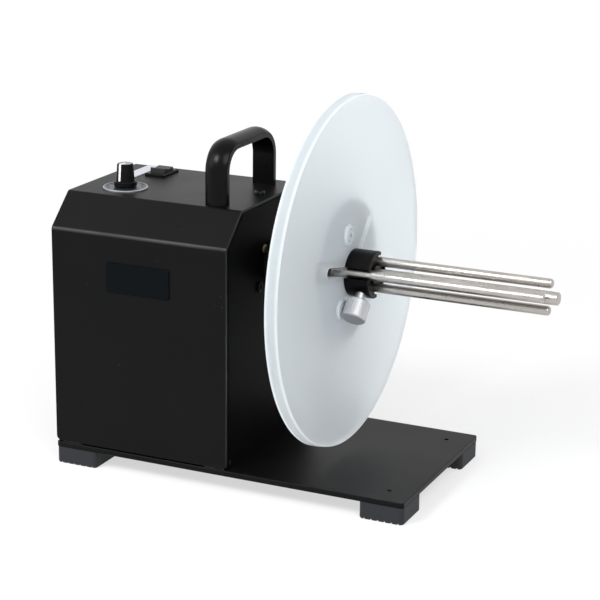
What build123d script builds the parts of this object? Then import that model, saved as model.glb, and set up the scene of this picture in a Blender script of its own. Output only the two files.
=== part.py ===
from build123d import *
from math import cos, degrees, hypot, pi, radians, sin
import os

# Bench label rewinder: a sheet-metal drive housing on a base plate, with a powered
# spindle that carries a round flange disc and three core fingers.
# Millimetres. +X runs along the spindle, away from the housing. -Y is the front
# (badge side). +Z is up. The origin is on the surface the feet stand on, in the
# middle of the overall length and width.

# ---- Base plate and feet ----
plate_length = 240.0
plate_depth = 130.0
plate_thickness = 3.5
plate_corner = 2.0
foot_size = 29.0
foot_height = 11.0
foot_corner = 3.0
foot_recess_diameter = 9.0
foot_recess_depth = 5.0
foot_screw_inset_x = 15.5
foot_screw_inset_y = 16.0
foot_screw_below_top = 1.6
foot_edge_radius = 1.2
foot_notches = 6
foot_notch_pitch = 4.4
foot_notch_width = 1.5
foot_notch_height = 1.1
foot_notch_reach = 3.0
edge_break = 0.3

# ---- Housing ----
housing_width = 122.0
housing_depth = 129.0
housing_height = 161.0
chamfer_depth = 21.0
chamfer_rise = 19.5
cover_thickness = 1.5
cover_bend_radius = 3.0
cover_lift = 1.0
cover_corner = 3.0
side_thickness = 2.5
side_bend_radius = 1.6
cover_end_gap = 0.2
left_plate_recess = 0.6
plate_clearance = 0.2
tab_length = 30.0
tab_reach = 16.0
tab_thickness = 2.0
tab_root = 0.5
cover_screw_inset = 10.0
cover_screw_y = 1.5
back_screw_height = 100.0
plug_diameter = 6.8
plug_rise = 1.0
plug_lip = 1.0
plug_rim = 1.6
plug_y = -18.9
plug_z = -12.0

# ---- Spindle line ----
axis_height = 119.0
disc_offset = 55.0
shaft_diameter = 8.0
shaft_reach = 133.0
finger_reach = 127.0
running_clearance = 0.05
loose_clearance = 0.3

# ---- Flange disc, hub and core fingers ----
disc_diameter = 220.0
disc_thickness = 8.0
disc_bevel_width = 4.4
disc_bevel_depth = 0.7
finger_diameter = 6.0
finger_tail_diameter = 4.0
smallest_core = 25.4
largest_core = 76.2
core_slack = 0.6
core_grip = 2.8
finger_angles = (48.0, 168.0, 288.0)
between_angles = (108.0, 228.0, 348.0)
hub_diameter = 29.6
hub_length = 16.0
hub_chamfer = 0.5
finger_to_sleeve = 0.9
carrier_diameter = 92.0
carrier_thickness = 10.0
channel_depth = 6.0
block_width = 12.0
block_length = 9.7
block_to_sleeve = 0.2
guide_clearance = 0.15
scroll_diameter = 95.0
scroll_thickness = 5.0
scroll_lead = 42.0
clamp_nut_diameter = 36.0
clamp_nut_thickness = 7.0
sleeve_past_nut = 1.0
flange_screw_circle = 26.5
cup_washer_diameter = 13.5
cup_washer_height = 1.6
thumb_screw_station = 9.8
thumb_screw_angle = 228.0
thumb_knob_diameter = 15.2
thumb_knob_length = 12.5
thumb_knob_start = 19.5
thumb_neck_diameter = 6.8
thumb_neck_start = 11.8

# ---- Bearings and drive ----
bearing_outer = 22.0
bearing_width = 7.0
bearing_balls = 8
nose_diameter = 27.0
nose_reach = 8.0
bearing_flange_diameter = 42.0
bearing_flange_thickness = 5.0
bearing_body_length = 17.0
bearing_screw_circle = 16.7
bearing_screw_angles = (18.0, 138.0, 258.0)
collar_diameter = 15.0
collar_width = 6.0
coupling_diameter = 20.0
coupling_length = 26.0
gearbox_diameter = 37.0
gearbox_length = 22.0
gearbox_boss_diameter = 12.0
motor_diameter = 35.0
motor_length = 34.0
motor_shaft_diameter = 6.0
bracket_thickness = 3.0
bracket_width = 56.0
bracket_foot = 40.0
bracket_hole_inset = 8.0
bracket_corner = 12.0
bracket_rise = 24.0
gearbox_screw_circle = 15.5

# ---- Controls on the top ----
knob_from_left = 28.7
knob_y = -21.4
dial_diameter = 28.6
dial_thickness = 1.0
knob_skirt_diameter = 14.6
knob_skirt_height = 3.4
knob_base_diameter = 11.8
knob_top_diameter = 10.2
knob_height = 14.5
knob_lift = 0.3
knob_flutes = 18
knob_flute_radius = 0.55
knob_cap_rim = 0.9
knob_cap_thickness = 0.8
pointer_angle = -101.0
pointer_width = 1.4
pot_bushing_diameter = 7.0
pot_shaft_diameter = 6.0
pot_shaft_reach = 11.0
nut_room_height = 2.6
nut_room_diameter = 12.0
pot_body_diameter = 16.5
pot_body_depth = 9.0
switch_from_left = 29.6
switch_y = 24.7
switch_width = 14.2
switch_length = 21.6
switch_bezel = 1.8
switch_body_width = 12.4
switch_body_length = 19.4
switch_body_depth = 16.0
rocker_width = 10.3
rocker_length = 12.2
rocker_rise = 3.5
rocker_valley = 1.1
rocker_pivot_height = 1.0
rocker_pin_radius = 1.0
rocker_pin_length = 1.0
rocker_gap = 0.35
rocker_tilt = 4.0
strip_from_left = 15.0
strip_width = 9.4
strip_start_y = 3.0
strip_end_y = 42.2
strip_thickness = 0.4

# ---- Handle ----
handle_from_right = 20.2
handle_width = 15.0
handle_thickness = 6.2
handle_edge = 3.4
handle_rise = 39.5
handle_front_y = -35.0
handle_back_y = 27.7
handle_inner_radius = 13.0
handle_shoulder_radius = 1.0
handle_screw_depth = 14.0

# ---- Badge, inlet and control board ----
badge_width = 44.0
badge_height = 19.0
badge_thickness = 1.0
badge_centre_height = 114.5
inlet_from_left = 30.0
inlet_height = 26.0
inlet_diameter = 8.0
inlet_flange_diameter = 12.0
inlet_bore = 5.5
inlet_pin = 2.1
board_width = 80.0
board_height = 60.0
board_thickness = 1.6
board_centre_height = 50.0
standoff_length = 8.0
board_hole_inset = 5.0

# ---- Fasteners ----
screw_clearance = 0.1
press_clearance = 0.02
hex_key_small = 1.5
hex_key_medium = 2.0
hex_key_large = 2.5
key_depth = 1.5
cross_length = 4.0
cross_width = 0.8
cross_depth = 1.1
m3_diameter = 3.0
m4_diameter = 4.0
m5_diameter = 5.0
pan_head_diameter = 7.0
pan_head_height = 2.2
countersink_diameter = 8.0
countersink_depth = 2.2
round_head_diameter = 5.5
round_head_height = 1.6
driver_slot_width = 0.7
driver_slot_depth = 0.7
driver_slot_angle = 35.0
rivet_head_diameter = 3.2
rivet_head_height = 0.6
rivet_diameter = 2.0
angle_leg = 12.0
angle_thickness = 2.0
angle_hole_y = 45.0
rivet_y = 59.4
rivet_height = 4.2

# ---- Places worked out from the sizes above ----
total_length = housing_width + disc_offset + shaft_reach
x_left = -total_length / 2
x_side = x_left + housing_width
x_disc = x_side + disc_offset
x_tip = x_disc + shaft_reach
x_left_plate = x_left + left_plate_recess
x_left_inside = x_left_plate + side_thickness
x_right_inside = x_side - side_thickness
x_disc_back = x_disc - disc_thickness
x_carrier_back = x_disc_back - carrier_thickness
x_channel_floor = x_disc_back - channel_depth
x_scroll_front = x_carrier_back - loose_clearance
x_scroll_back = x_scroll_front - scroll_thickness
x_nut_front = x_scroll_back - loose_clearance
x_nut_back = x_nut_front - clamp_nut_thickness
x_sleeve_end = x_nut_back - sleeve_past_nut
x_nose_end = x_side + nose_reach
x_bearing_body_end = x_right_inside - bearing_flange_thickness - bearing_body_length
x_coupling_right = x_bearing_body_end - 0.5
x_coupling_left = x_coupling_right - coupling_length
x_bracket_right = x_coupling_left - 3.0
x_bracket_left = x_bracket_right - bracket_thickness
x_gearbox_left = x_bracket_left - gearbox_length
x_motor_left = x_gearbox_left - motor_length
x_shaft_start = x_coupling_right - coupling_length / 2 + 1.0
x_handle = x_side - handle_from_right
x_knob = x_left + knob_from_left
x_switch = x_left + switch_from_left
x_strip = x_left + strip_from_left
z_plate_bottom = foot_height
z_plate = foot_height + plate_thickness
z_top = z_plate + housing_height
z_top_inside = z_top - cover_thickness
z_axis = z_plate + axis_height
z_dial = z_top + dial_thickness
z_knob = z_dial + knob_lift
half_depth = housing_depth / 2
finger_radius = finger_diameter / 2
tail_radius = finger_tail_diameter / 2
finger_closed = (smallest_core - core_slack) / 2 - finger_radius
finger_open = (largest_core + core_grip) / 2 - finger_radius
finger_travel = finger_open - finger_closed
finger_slot_width = finger_diameter + 2 * loose_clearance
tail_slot_width = finger_tail_diameter + 2 * loose_clearance
scroll_turn = 360.0 * finger_travel / scroll_lead
cover_length = housing_width - cover_end_gap
bearing_bore = shaft_diameter
sleeve_diameter = 2 * (finger_closed - finger_radius - finger_to_sleeve)
block_inner_wall = finger_closed - sleeve_diameter / 2 - block_to_sleeve
z_back_screw = z_plate + back_screw_height
foot_centres = [
    (x, y)
    for x in (x_left + foot_size / 2, x_left + plate_length - foot_size / 2)
    for y in (-(plate_depth - foot_size) / 2, (plate_depth - foot_size) / 2)
]
foot_screw_places = [
    (x, y)
    for x in (x_left + foot_screw_inset_x, x_left + plate_length - foot_screw_inset_x)
    for y in (-plate_depth / 2 + foot_screw_inset_y, plate_depth / 2 - foot_screw_inset_y)
]


# ---- Small building blocks ----
def block(x0, x1, y0, y1, z0, z1):
    """Box between two opposite corners."""
    centre = Pos((x0 + x1) / 2, (y0 + y1) / 2, (z0 + z1) / 2)
    return centre * Box(abs(x1 - x0), abs(y1 - y0), abs(z1 - z0))


def post(x, y, z0, z1, radius):
    """Upright cylinder from z0 to z1."""
    return Pos(x, y, (z0 + z1) / 2) * Cylinder(radius, abs(z1 - z0))


def spindle_plane(x):
    """Plane across the spindle axis: its own x is +Y and its own y is +Z."""
    return Plane(origin=(x, 0, z_axis), x_dir=(0, 1, 0), z_dir=(1, 0, 0))


def across(x0, x1, sketch):
    """Sketch drawn about the spindle axis, made solid from x0 to x1."""
    return extrude(spindle_plane(x0) * sketch, amount=x1 - x0)


def turned(x0, x1, radius, y=0.0, z=0.0):
    """Cylinder along X, placed from the spindle axis."""
    return across(x0, x1, Pos(y, z) * Circle(radius))


def polar(radius, angle):
    """Point at a radius and an angle from +Y towards +Z."""
    return radius * cos(radians(angle)), radius * sin(radians(angle))


def radial_slot(width, inner, outer, angle):
    """Slot outline along a radius, with a round outer end."""
    length = outer - inner
    bar = Pos(inner + length / 2, 0) * Rectangle(length, width)
    return Rot(0, 0, angle) * (bar + Pos(outer, 0) * Circle(width / 2))


def fluted_circle(radius, count, bite):
    """Circle with shallow round bites evenly spaced on its rim."""
    bites = [Pos(*polar(radius + bite * 0.45, 360.0 * i / count)) * Circle(bite) for i in range(count)]
    return Circle(radius) - bites


def softened(solid, axis, amount):
    """Chamfer on the two end rims of a solid turned about the given axis."""
    rims = solid.edges().filter_by(GeomType.CIRCLE).group_by(axis)
    return chamfer(rims[0] + rims[-1], amount)


def hex_socket(x, y, z, size, depth):
    """Upright hexagonal hole, open at height z."""
    return extrude(Pos(x, y, z - depth) * RegularPolygon(size / 2, 6, major_radius=False), amount=depth)


def countersunk_from_below(x, y, z_bottom, length):
    """Flat-head screw that points up, with its head flush at z_bottom."""
    head = Pos(x, y, z_bottom + countersink_depth / 2) * Cone(
        countersink_diameter / 2, m4_diameter / 2 - screw_clearance, countersink_depth
    )
    shank = post(x, y, z_bottom + countersink_depth, z_bottom + length, m4_diameter / 2 - screw_clearance)
    return head + shank - hex_socket(x, y, z_bottom + key_depth, hex_key_large, key_depth)


def countersink_from_below(x, y, z_bottom, through):
    """Hole in a plate for such a screw."""
    cone = Pos(x, y, z_bottom + countersink_depth / 2) * Cone(
        countersink_diameter / 2 + screw_clearance, m4_diameter / 2 + screw_clearance, countersink_depth
    )
    return cone + post(x, y, z_bottom, z_bottom + through, m4_diameter / 2 + screw_clearance)


def pan_screw_down(x, y, z_seat, length):
    """Pan-head screw that points down from its seat, with a cross recess."""
    head = post(x, y, z_seat, z_seat + pan_head_height, pan_head_diameter / 2)
    head = fillet(head.edges().group_by(Axis.Z)[-1], pan_head_height * 0.6)
    shank = post(x, y, z_seat - length, z_seat, m4_diameter / 2 - screw_clearance)
    z_recess = z_seat + pan_head_height - cross_depth / 2
    cross = Box(cross_length, cross_width, cross_depth) + Box(cross_width, cross_length, cross_depth)
    return head + shank - Pos(x, y, z_recess) * cross


def pan_screw_up(x, y, z_seat, length, diameter):
    """Pan-head screw that points up into the piece above its seat."""
    head = post(x, y, z_seat - pan_head_height, z_seat, pan_head_diameter / 2)
    head = fillet(head.edges().group_by(Axis.Z)[0], pan_head_height * 0.6)
    shank = post(x, y, z_seat, z_seat + length, diameter / 2 - screw_clearance)
    return head + shank - hex_socket(x, y, z_seat - pan_head_height + key_depth, hex_key_large, key_depth)


# ---- Base ----
bearing_screw_places = [polar(bearing_screw_circle, angle) for angle in bearing_screw_angles]
bracket_foot_holes = [
    (x_bracket_left - dx, sy * (bracket_width / 2 - bracket_hole_inset))
    for dx in (bracket_hole_inset + 2.0, bracket_foot - bracket_hole_inset)
    for sy in (-1, 1)
]
angle_centres_x = [x_left_inside + angle_leg / 2 + 1.0, x_right_inside - angle_leg / 2 - 1.0]
angle_screw_holes = [(x, sy * angle_hole_y) for x in angle_centres_x for sy in (-1, 1)]


def make_base_plate():
    plate = block(
        x_left, x_left + plate_length, -plate_depth / 2, plate_depth / 2, z_plate_bottom, z_plate
    )
    plate = fillet(plate.edges().filter_by(Axis.Z), plate_corner)
    rims = plate.edges().group_by(Axis.Z)
    plate = chamfer(rims[0] + rims[-1], edge_break)
    for x, y in foot_screw_places:
        plate -= post(x, y, z_plate_bottom, z_plate, m3_diameter / 2)
    for x, y in bracket_foot_holes + angle_screw_holes:
        plate -= countersink_from_below(x, y, z_plate_bottom, plate_thickness)
    return plate


def foot_notch_row(half):
    """Notches along the lower edge of one side of a foot, centred on x with the side at y = -half."""
    row = []
    for i in range(foot_notches):
        along = (i - (foot_notches - 1) / 2) * foot_notch_pitch
        row.append(
            block(
                along - foot_notch_width / 2,
                along + foot_notch_width / 2,
                -half,
                -half + foot_notch_reach,
                0,
                foot_notch_height,
            )
        )
    return row


def make_foot(centre, screw_place):
    """Square rubber foot with a notched lower edge and a recess from below for the screw head."""
    half = foot_size / 2
    foot = block(-half, half, -half, half, 0, foot_height)
    foot = fillet(foot.edges().filter_by(Axis.Z), foot_corner)
    foot = fillet(foot.edges().group_by(Axis.Z)[0], foot_edge_radius)
    for turn in (0, 90, 180, 270):
        foot -= [Rot(0, 0, turn) * notch for notch in foot_notch_row(half)]
    foot = Pos(*centre, 0) * foot
    foot -= post(*screw_place, 0, foot_recess_depth, foot_recess_diameter / 2)
    return foot - post(*screw_place, 0, foot_height, m3_diameter / 2 + screw_clearance)


def make_foot_screws():
    """Screws through the feet; each ends a little below the top of the base plate."""
    length = foot_height + plate_thickness - foot_recess_depth - foot_screw_below_top
    return [pan_screw_up(x, y, foot_recess_depth, length, m3_diameter) for x, y in foot_screw_places]


# ---- Housing ----
def housing_outline(inset, z_bottom):
    """Closed outline of the housing seen along the spindle, moved inwards by an even inset."""
    slope = hypot(chamfer_depth, chamfer_rise)
    shoulder_drop = inset * (slope - chamfer_depth) / chamfer_rise
    ridge_shift = inset * (slope - chamfer_rise) / chamfer_depth
    side = half_depth - inset
    shoulder = z_top - chamfer_rise - shoulder_drop
    ridge = half_depth - chamfer_depth - ridge_shift
    points = [
        (-side, z_bottom),
        (-side, shoulder),
        (-ridge, z_top - inset),
        (ridge, z_top - inset),
        (side, shoulder),
        (side, z_bottom),
    ]
    face = make_face(Polyline(*points, close=True))
    return Plane(origin=(0, 0, 0), x_dir=(0, 1, 0), z_dir=(1, 0, 0)) * face


def housing_slab(x0, x1, inset, z_bottom, bend_radius):
    """Solid of that outline from x0 to x1, with its four bends rounded."""
    slab = Pos(x0, 0, 0) * extrude(housing_outline(inset, z_bottom), amount=x1 - x0)
    bends = slab.edges().filter_by(Axis.X).group_by(Axis.Z)
    return fillet(bends[-1] + bends[-2], bend_radius)


def rivet_holes(x0, x1, x_sunk):
    """Stem holes through a plate, with sunk seats that start at x_sunk."""
    drop = z_plate + rivet_height - z_axis
    stem = rivet_diameter / 2 + press_clearance
    seat = rivet_head_diameter / 2 + press_clearance
    holes = []
    for sy in (-1, 1):
        holes.append(turned(x0, x1, stem, sy * rivet_y, drop))
        holes.append(turned(x_sunk, x_sunk + rivet_head_height, seat, sy * rivet_y, drop))
    return holes


def make_right_side_plate():
    """Plate on the spindle side: a rounded outer rim inside the cover, and a bent tab under its top."""
    inset = cover_thickness + plate_clearance
    plate = housing_slab(x_right_inside, x_side, inset, z_plate, cover_bend_radius - cover_thickness)
    outer_rim = plate.edges().group_by(Axis.X)[-1].sort_by(Axis.Z)[1:]
    plate = fillet(outer_rim, side_bend_radius)
    plate += block(
        x_right_inside - tab_reach,
        x_right_inside + tab_root,
        -tab_length / 2,
        tab_length / 2,
        z_top_inside - tab_thickness,
        z_top_inside,
    )
    x_screw = x_side - cover_screw_inset
    plate -= post(x_screw, cover_screw_y, z_top_inside - 2 * tab_thickness, z_top_inside, m4_diameter / 2)
    plate -= rivet_holes(x_right_inside, x_side, x_side - rivet_head_height)
    plate -= turned(x_right_inside, x_side, nose_diameter / 2 + screw_clearance)
    plate -= turned(x_right_inside, x_side, plug_diameter / 2 - plug_lip, plug_y, plug_z)
    for y, z in bearing_screw_places:
        plate -= turned(x_right_inside, x_side, m3_diameter / 2 + screw_clearance, y, z)
    return plate


def make_left_side_plate():
    """Closing plate set just inside the cover's left end, with a tab for the back screw."""
    inset = cover_thickness + plate_clearance
    plate = housing_slab(x_left_plate, x_left_inside, inset, z_plate, cover_bend_radius - cover_thickness)
    y_back = half_depth - cover_thickness
    plate += block(
        x_left_inside,
        x_left_inside + tab_reach,
        y_back - tab_thickness,
        y_back,
        z_back_screw - tab_length / 2,
        z_back_screw + tab_length / 2,
    )
    plate += block(
        x_left_plate, x_left_inside, y_back - tab_thickness, y_back, z_back_screw - tab_length / 2,
        z_back_screw + tab_length / 2,
    )
    plate -= back_screw_place * post(0, 0, -3 * tab_thickness, 0, m4_diameter / 2)
    plate -= rivet_holes(x_left_plate, x_left_inside, x_left_plate)
    return plate


back_screw_place = Pos(x_left + cover_screw_inset, half_depth, z_back_screw) * Rot(-90, 0, 0)


def make_side_plug():
    """Round plug that closes a spare hole in the spindle-side plate."""
    plug = turned(x_side, x_side + plug_rise, plug_diameter / 2, plug_y, plug_z)
    plug = fillet(plug.edges().group_by(Axis.X)[-1], plug_rise * 0.7)
    dish = plug_diameter / 2 - plug_rim
    plug -= turned(x_side + plug_rise / 2, x_side + plug_rise, dish, plug_y, plug_z)
    stem = plug_diameter / 2 - plug_lip - press_clearance
    return plug + turned(x_right_inside, x_side, stem, plug_y, plug_z)


def make_base_angle(x_plate_face, direction):
    """Angle that joins a side plate to the base plate."""
    x_end = x_plate_face + direction * (angle_leg + 2.0)
    x_upright = x_plate_face + direction * angle_thickness
    reach = half_depth - 2.0
    angle = block(x_plate_face, x_end, -reach, reach, z_plate, z_plate + angle_thickness)
    angle += block(x_plate_face, x_upright, -reach, reach, z_plate, z_plate + angle_leg)
    for x, y in angle_screw_holes:
        angle -= post(x, y, z_plate, z_plate + angle_thickness, m4_diameter / 2)
    for sy in (-1, 1):
        drop = z_plate + rivet_height - z_axis
        x0, x1 = sorted((x_plate_face, x_upright))
        angle -= turned(x0, x1, rivet_diameter / 2 + press_clearance, sy * rivet_y, drop)
    return angle


def make_angle_screws():
    length = plate_thickness + angle_thickness - 0.3
    return [countersunk_from_below(x, y, z_plate_bottom, length) for x, y in angle_screw_holes]


def make_side_rivets():
    """Small rivets, two in each side plate, with their outer heads let in flush."""
    rivets = []
    drop = z_plate + rivet_height - z_axis
    grip = side_thickness + angle_thickness
    for x_outer, inward in ((x_side, -1), (x_left_plate, 1)):
        head_ends = sorted((x_outer, x_outer + inward * rivet_head_height))
        stem_ends = sorted((x_outer, x_outer + inward * grip))
        tail_ends = sorted((x_outer + inward * grip, x_outer + inward * (grip + rivet_head_height)))
        for sy in (-1, 1):
            rivet = turned(*stem_ends, rivet_diameter / 2, sy * rivet_y, drop)
            rivet += turned(*head_ends, rivet_head_diameter / 2, sy * rivet_y, drop)
            rivet += turned(*tail_ends, rivet_head_diameter / 2, sy * rivet_y, drop)
            rivets.append(rivet)
    return rivets


def make_cover():
    """One bent sheet: front, front chamfer, top, back chamfer and back."""
    z_bottom = z_plate + cover_lift
    x_end = x_left + cover_length
    cover = housing_slab(x_left, x_end, 0.0, z_bottom, cover_bend_radius)
    cover -= housing_slab(x_left, x_end, cover_thickness, z_bottom, cover_bend_radius - cover_thickness)
    lower_corners = cover.edges().filter_by(Axis.Y).group_by(Axis.Z)[0]
    cover = fillet(lower_corners, cover_corner)
    holes = [(x_side - cover_screw_inset, cover_screw_y, m4_diameter / 2 + 2 * screw_clearance)]
    holes += [(x_handle, y, m3_diameter / 2 + 2 * screw_clearance) for y in handle_leg_centres]
    holes.append((x_knob, knob_y, pot_bushing_diameter / 2 + screw_clearance))
    for x, y, radius in holes:
        cover -= post(x, y, z_top_inside - 1, z_top + 1, radius)
    cover -= back_screw_place * post(0, 0, -2 * cover_thickness, 1, m4_diameter / 2 + 2 * screw_clearance)
    cover -= block(
        x_switch - switch_body_width / 2 - screw_clearance,
        x_switch + switch_body_width / 2 + screw_clearance,
        switch_y - switch_body_length / 2 - screw_clearance,
        switch_y + switch_body_length / 2 + screw_clearance,
        z_top_inside - 1,
        z_top + 1,
    )
    inlet = Pos(x_left + inlet_from_left, half_depth, z_plate + inlet_height)
    cover -= inlet * Rot(90, 0, 0) * Cylinder(inlet_diameter / 2 + screw_clearance, 4 * cover_thickness)
    return cover


def make_cover_screws():
    """One screw in the top beside the spindle-side plate, one in the back near the left end."""
    length = cover_thickness + tab_thickness + 1.5
    top_screw = pan_screw_down(x_side - cover_screw_inset, cover_screw_y, z_top, length)
    back_screw = back_screw_place * pan_screw_down(0, 0, 0, length)
    return [top_screw, back_screw]


def make_badge_plate():
    """Plain nameplate stuck on the front, left bare."""
    x_middle = x_left + housing_width / 2
    z_middle = z_plate + badge_centre_height
    badge = block(
        x_middle - badge_width / 2,
        x_middle + badge_width / 2,
        -half_depth - badge_thickness,
        -half_depth,
        z_middle - badge_height / 2,
        z_middle + badge_height / 2,
    )
    badge = fillet(badge.edges().filter_by(Axis.Y), 1.0)
    return chamfer(badge.faces().sort_by(Axis.Y)[0].edges(), 0.4)


def make_label_strip():
    """Plain marking strip beside the switch."""
    strip = block(
        x_strip - strip_width / 2, x_strip + strip_width / 2, strip_start_y, strip_end_y, z_top,
        z_top + strip_thickness,
    )
    return fillet(strip.edges().filter_by(Axis.Z), 0.8)


# ---- Handle ----
handle_leg_offset = handle_thickness * 0.46
handle_leg_centres = (handle_front_y - handle_leg_offset, handle_back_y + handle_leg_offset)


def make_handle():
    """Bridge handle: a crowned strap swept up, over and down."""
    z_under = z_top + handle_rise - handle_thickness
    path = FilletPolyline(
        (x_handle, handle_front_y, z_top),
        (x_handle, handle_front_y, z_under),
        (x_handle, handle_back_y, z_under),
        (x_handle, handle_back_y, z_top),
        radius=handle_inner_radius,
    )
    half = handle_width / 2
    flat = Line((-half, 0), (half, 0))
    right_edge = Line((half, 0), (half, -handle_edge))
    crown = ThreePointArc((half, -handle_edge), (0, -handle_thickness), (-half, -handle_edge))
    left_edge = Line((-half, -handle_edge), (-half, 0))
    section = make_face(Curve() + [flat, right_edge, crown, left_edge])
    shoulders = [v for v in section.vertices() if v.Y < -handle_edge / 2]
    section = fillet(shoulders, handle_shoulder_radius)
    start = Plane(origin=(x_handle, handle_front_y, z_top), x_dir=(1, 0, 0), z_dir=(0, 0, 1))
    handle = sweep(start * section, path=path)
    for y in handle_leg_centres:
        handle -= post(x_handle, y, z_top, z_top + handle_screw_depth, m3_diameter / 2)
    return handle


def make_handle_screws():
    length = cover_thickness + handle_screw_depth - 1.5
    return [pan_screw_up(x_handle, y, z_top_inside, length, m3_diameter) for y in handle_leg_centres]


# ---- Speed knob and its control ----
def knob_outline(shrink=0.0):
    """Half outline of the knob: skirt below, tapered body above."""
    skirt = knob_skirt_diameter / 2 - shrink
    base = knob_base_diameter / 2 - shrink
    top = knob_top_diameter / 2 - shrink
    points = [
        (0, 0),
        (skirt - 0.3, 0),
        (skirt, 0.5),
        (skirt, knob_skirt_height - 0.6 - shrink),
        (skirt - 0.6, knob_skirt_height - shrink),
        (base, knob_skirt_height - shrink),
        (top + 0.05, knob_height - 0.6 - shrink),
        (top - 0.5, knob_height - shrink),
        (0, knob_height - shrink),
    ]
    return make_face(Polyline(*points, close=True))


def knob_solid(shrink=0.0):
    upright = Plane(origin=(x_knob, knob_y, z_knob), x_dir=(1, 0, 0), z_dir=(0, -1, 0))
    return revolve(upright * knob_outline(shrink), axis=Axis((x_knob, knob_y, 0), (0, 0, 1)))


def make_knob_pointer():
    """White line let into the knob's side and top."""
    skin = knob_solid() - knob_solid(0.5)
    skin -= post(x_knob, knob_y, z_knob - 1, z_knob + knob_skirt_height + 0.4, knob_skirt_diameter)
    line = Box(knob_top_diameter, pointer_width, knob_height + 2)
    line = Rot(0, 0, pointer_angle) * Pos(knob_top_diameter / 2, 0, knob_height / 2) * line
    return skin & (Pos(x_knob, knob_y, z_knob) * line)


def make_knob_cap():
    """Thin grey disc set into the top of the knob."""
    z = z_knob + knob_height
    cap = post(x_knob, knob_y, z - knob_cap_thickness, z, knob_top_diameter / 2 - knob_cap_rim)
    return cap - make_knob_pointer()


def make_knob_body():
    knob = knob_solid()
    lean = (knob_base_diameter - knob_top_diameter) / 2 / (knob_height - knob_skirt_height)
    flute_height = knob_height - knob_skirt_height
    for i in range(knob_flutes):
        angle = pointer_angle + 360.0 / knob_flutes * (i + 0.5)
        flute = Cylinder(knob_flute_radius, flute_height * 1.1, align=(Align.CENTER, Align.CENTER, Align.MIN))
        flute = Rot(0, -degrees(lean), 0) * flute
        flute = Pos(knob_base_diameter / 2 + knob_flute_radius / 2, 0, knob_skirt_height + 0.3) * flute
        knob -= Pos(x_knob, knob_y, z_knob) * Rot(0, 0, angle) * flute
    z = z_knob + knob_height
    knob -= post(x_knob, knob_y, z - knob_cap_thickness, z, knob_top_diameter / 2 - knob_cap_rim)
    knob -= make_knob_pointer()
    knob -= post(x_knob, knob_y, z_knob, z_knob + nut_room_height, nut_room_diameter / 2)
    return knob - post(x_knob, knob_y, z_knob, z_knob + pot_shaft_reach, pot_shaft_diameter / 2)


def make_dial_plate():
    """Round scale plate with a raised outer ring and plain tick marks."""
    dial = post(x_knob, knob_y, z_top, z_dial, dial_diameter / 2)
    dial = chamfer(dial.edges().group_by(Axis.Z)[-1], 0.3)
    dial -= post(x_knob, knob_y, z_dial - 0.2, z_dial, dial_diameter / 2 - 1.5)
    for i in range(11):
        tick = Pos(dial_diameter / 2 - 3.1, 0, 0) * Box(1.8, 0.5, 0.2)
        angle = pointer_angle - 30.0 * i
        dial += Pos(x_knob, knob_y, z_dial - 0.1) * Rot(0, 0, angle) * tick
    return dial - post(x_knob, knob_y, z_top, z_dial, pot_bushing_diameter / 2 + screw_clearance)


def make_potentiometer():
    body = post(x_knob, knob_y, z_top_inside - pot_body_depth, z_top_inside, pot_body_diameter / 2)
    body += post(x_knob, knob_y, z_top_inside, z_dial + 2.4, pot_bushing_diameter / 2)
    lugs = block(x_knob - 6, x_knob + 6, knob_y + 6, knob_y + 12, z_top_inside - 6, z_top_inside - 5)
    body += lugs
    return body - post(
        x_knob, knob_y, z_top_inside - 4, z_dial + 3, pot_shaft_diameter / 2 + running_clearance
    )


def make_potentiometer_shaft():
    return post(x_knob, knob_y, z_top_inside - 3.5, z_knob + pot_shaft_reach, pot_shaft_diameter / 2)


def make_potentiometer_nut():
    nut = extrude(Pos(x_knob, knob_y, z_dial) * RegularPolygon(5.0, 6, major_radius=False), amount=1.9)
    return nut - post(x_knob, knob_y, z_dial, z_dial + 2, pot_bushing_diameter / 2)


# ---- Rocker switch ----
z_rocker_pivot = z_top + rocker_pivot_height


def make_switch_body():
    """Switch case: a bezel on the cover and a box below it, hollow for the rocker."""
    bezel = block(
        x_switch - switch_width / 2, x_switch + switch_width / 2, switch_y - switch_length / 2,
        switch_y + switch_length / 2, z_top, z_top + switch_bezel,
    )
    bezel = fillet(bezel.edges().filter_by(Axis.Z), 1.0)
    bezel = chamfer(bezel.edges().group_by(Axis.Z)[-1], 0.7)
    case = block(
        x_switch - switch_body_width / 2, x_switch + switch_body_width / 2,
        switch_y - switch_body_length / 2, switch_y + switch_body_length / 2,
        z_top - switch_body_depth, z_top,
    )
    well = block(
        x_switch - rocker_width / 2 - rocker_gap, x_switch + rocker_width / 2 + rocker_gap,
        switch_y - rocker_length / 2 - rocker_gap, switch_y + rocker_length / 2 + rocker_gap,
        z_rocker_pivot - rocker_length / 2 - rocker_gap, z_top + switch_bezel,
    )
    body = bezel + case - well
    for sx in (-1, 1):
        x0 = x_switch + sx * (rocker_width / 2 - rocker_pin_length)
        x1 = x_switch + sx * (rocker_width / 2 + rocker_gap)
        pin = Cylinder(rocker_pin_radius, abs(x1 - x0))
        body += Pos((x0 + x1) / 2, switch_y, z_rocker_pivot) * Rot(0, 90, 0) * pin
    for offset in (-5.0, 0.0, 5.0):
        body += block(
            x_switch - 2.4, x_switch + 2.4, switch_y + offset - 0.4, switch_y + offset + 0.4,
            z_top - switch_body_depth - 7.0, z_top - switch_body_depth,
        )
    return body


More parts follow.
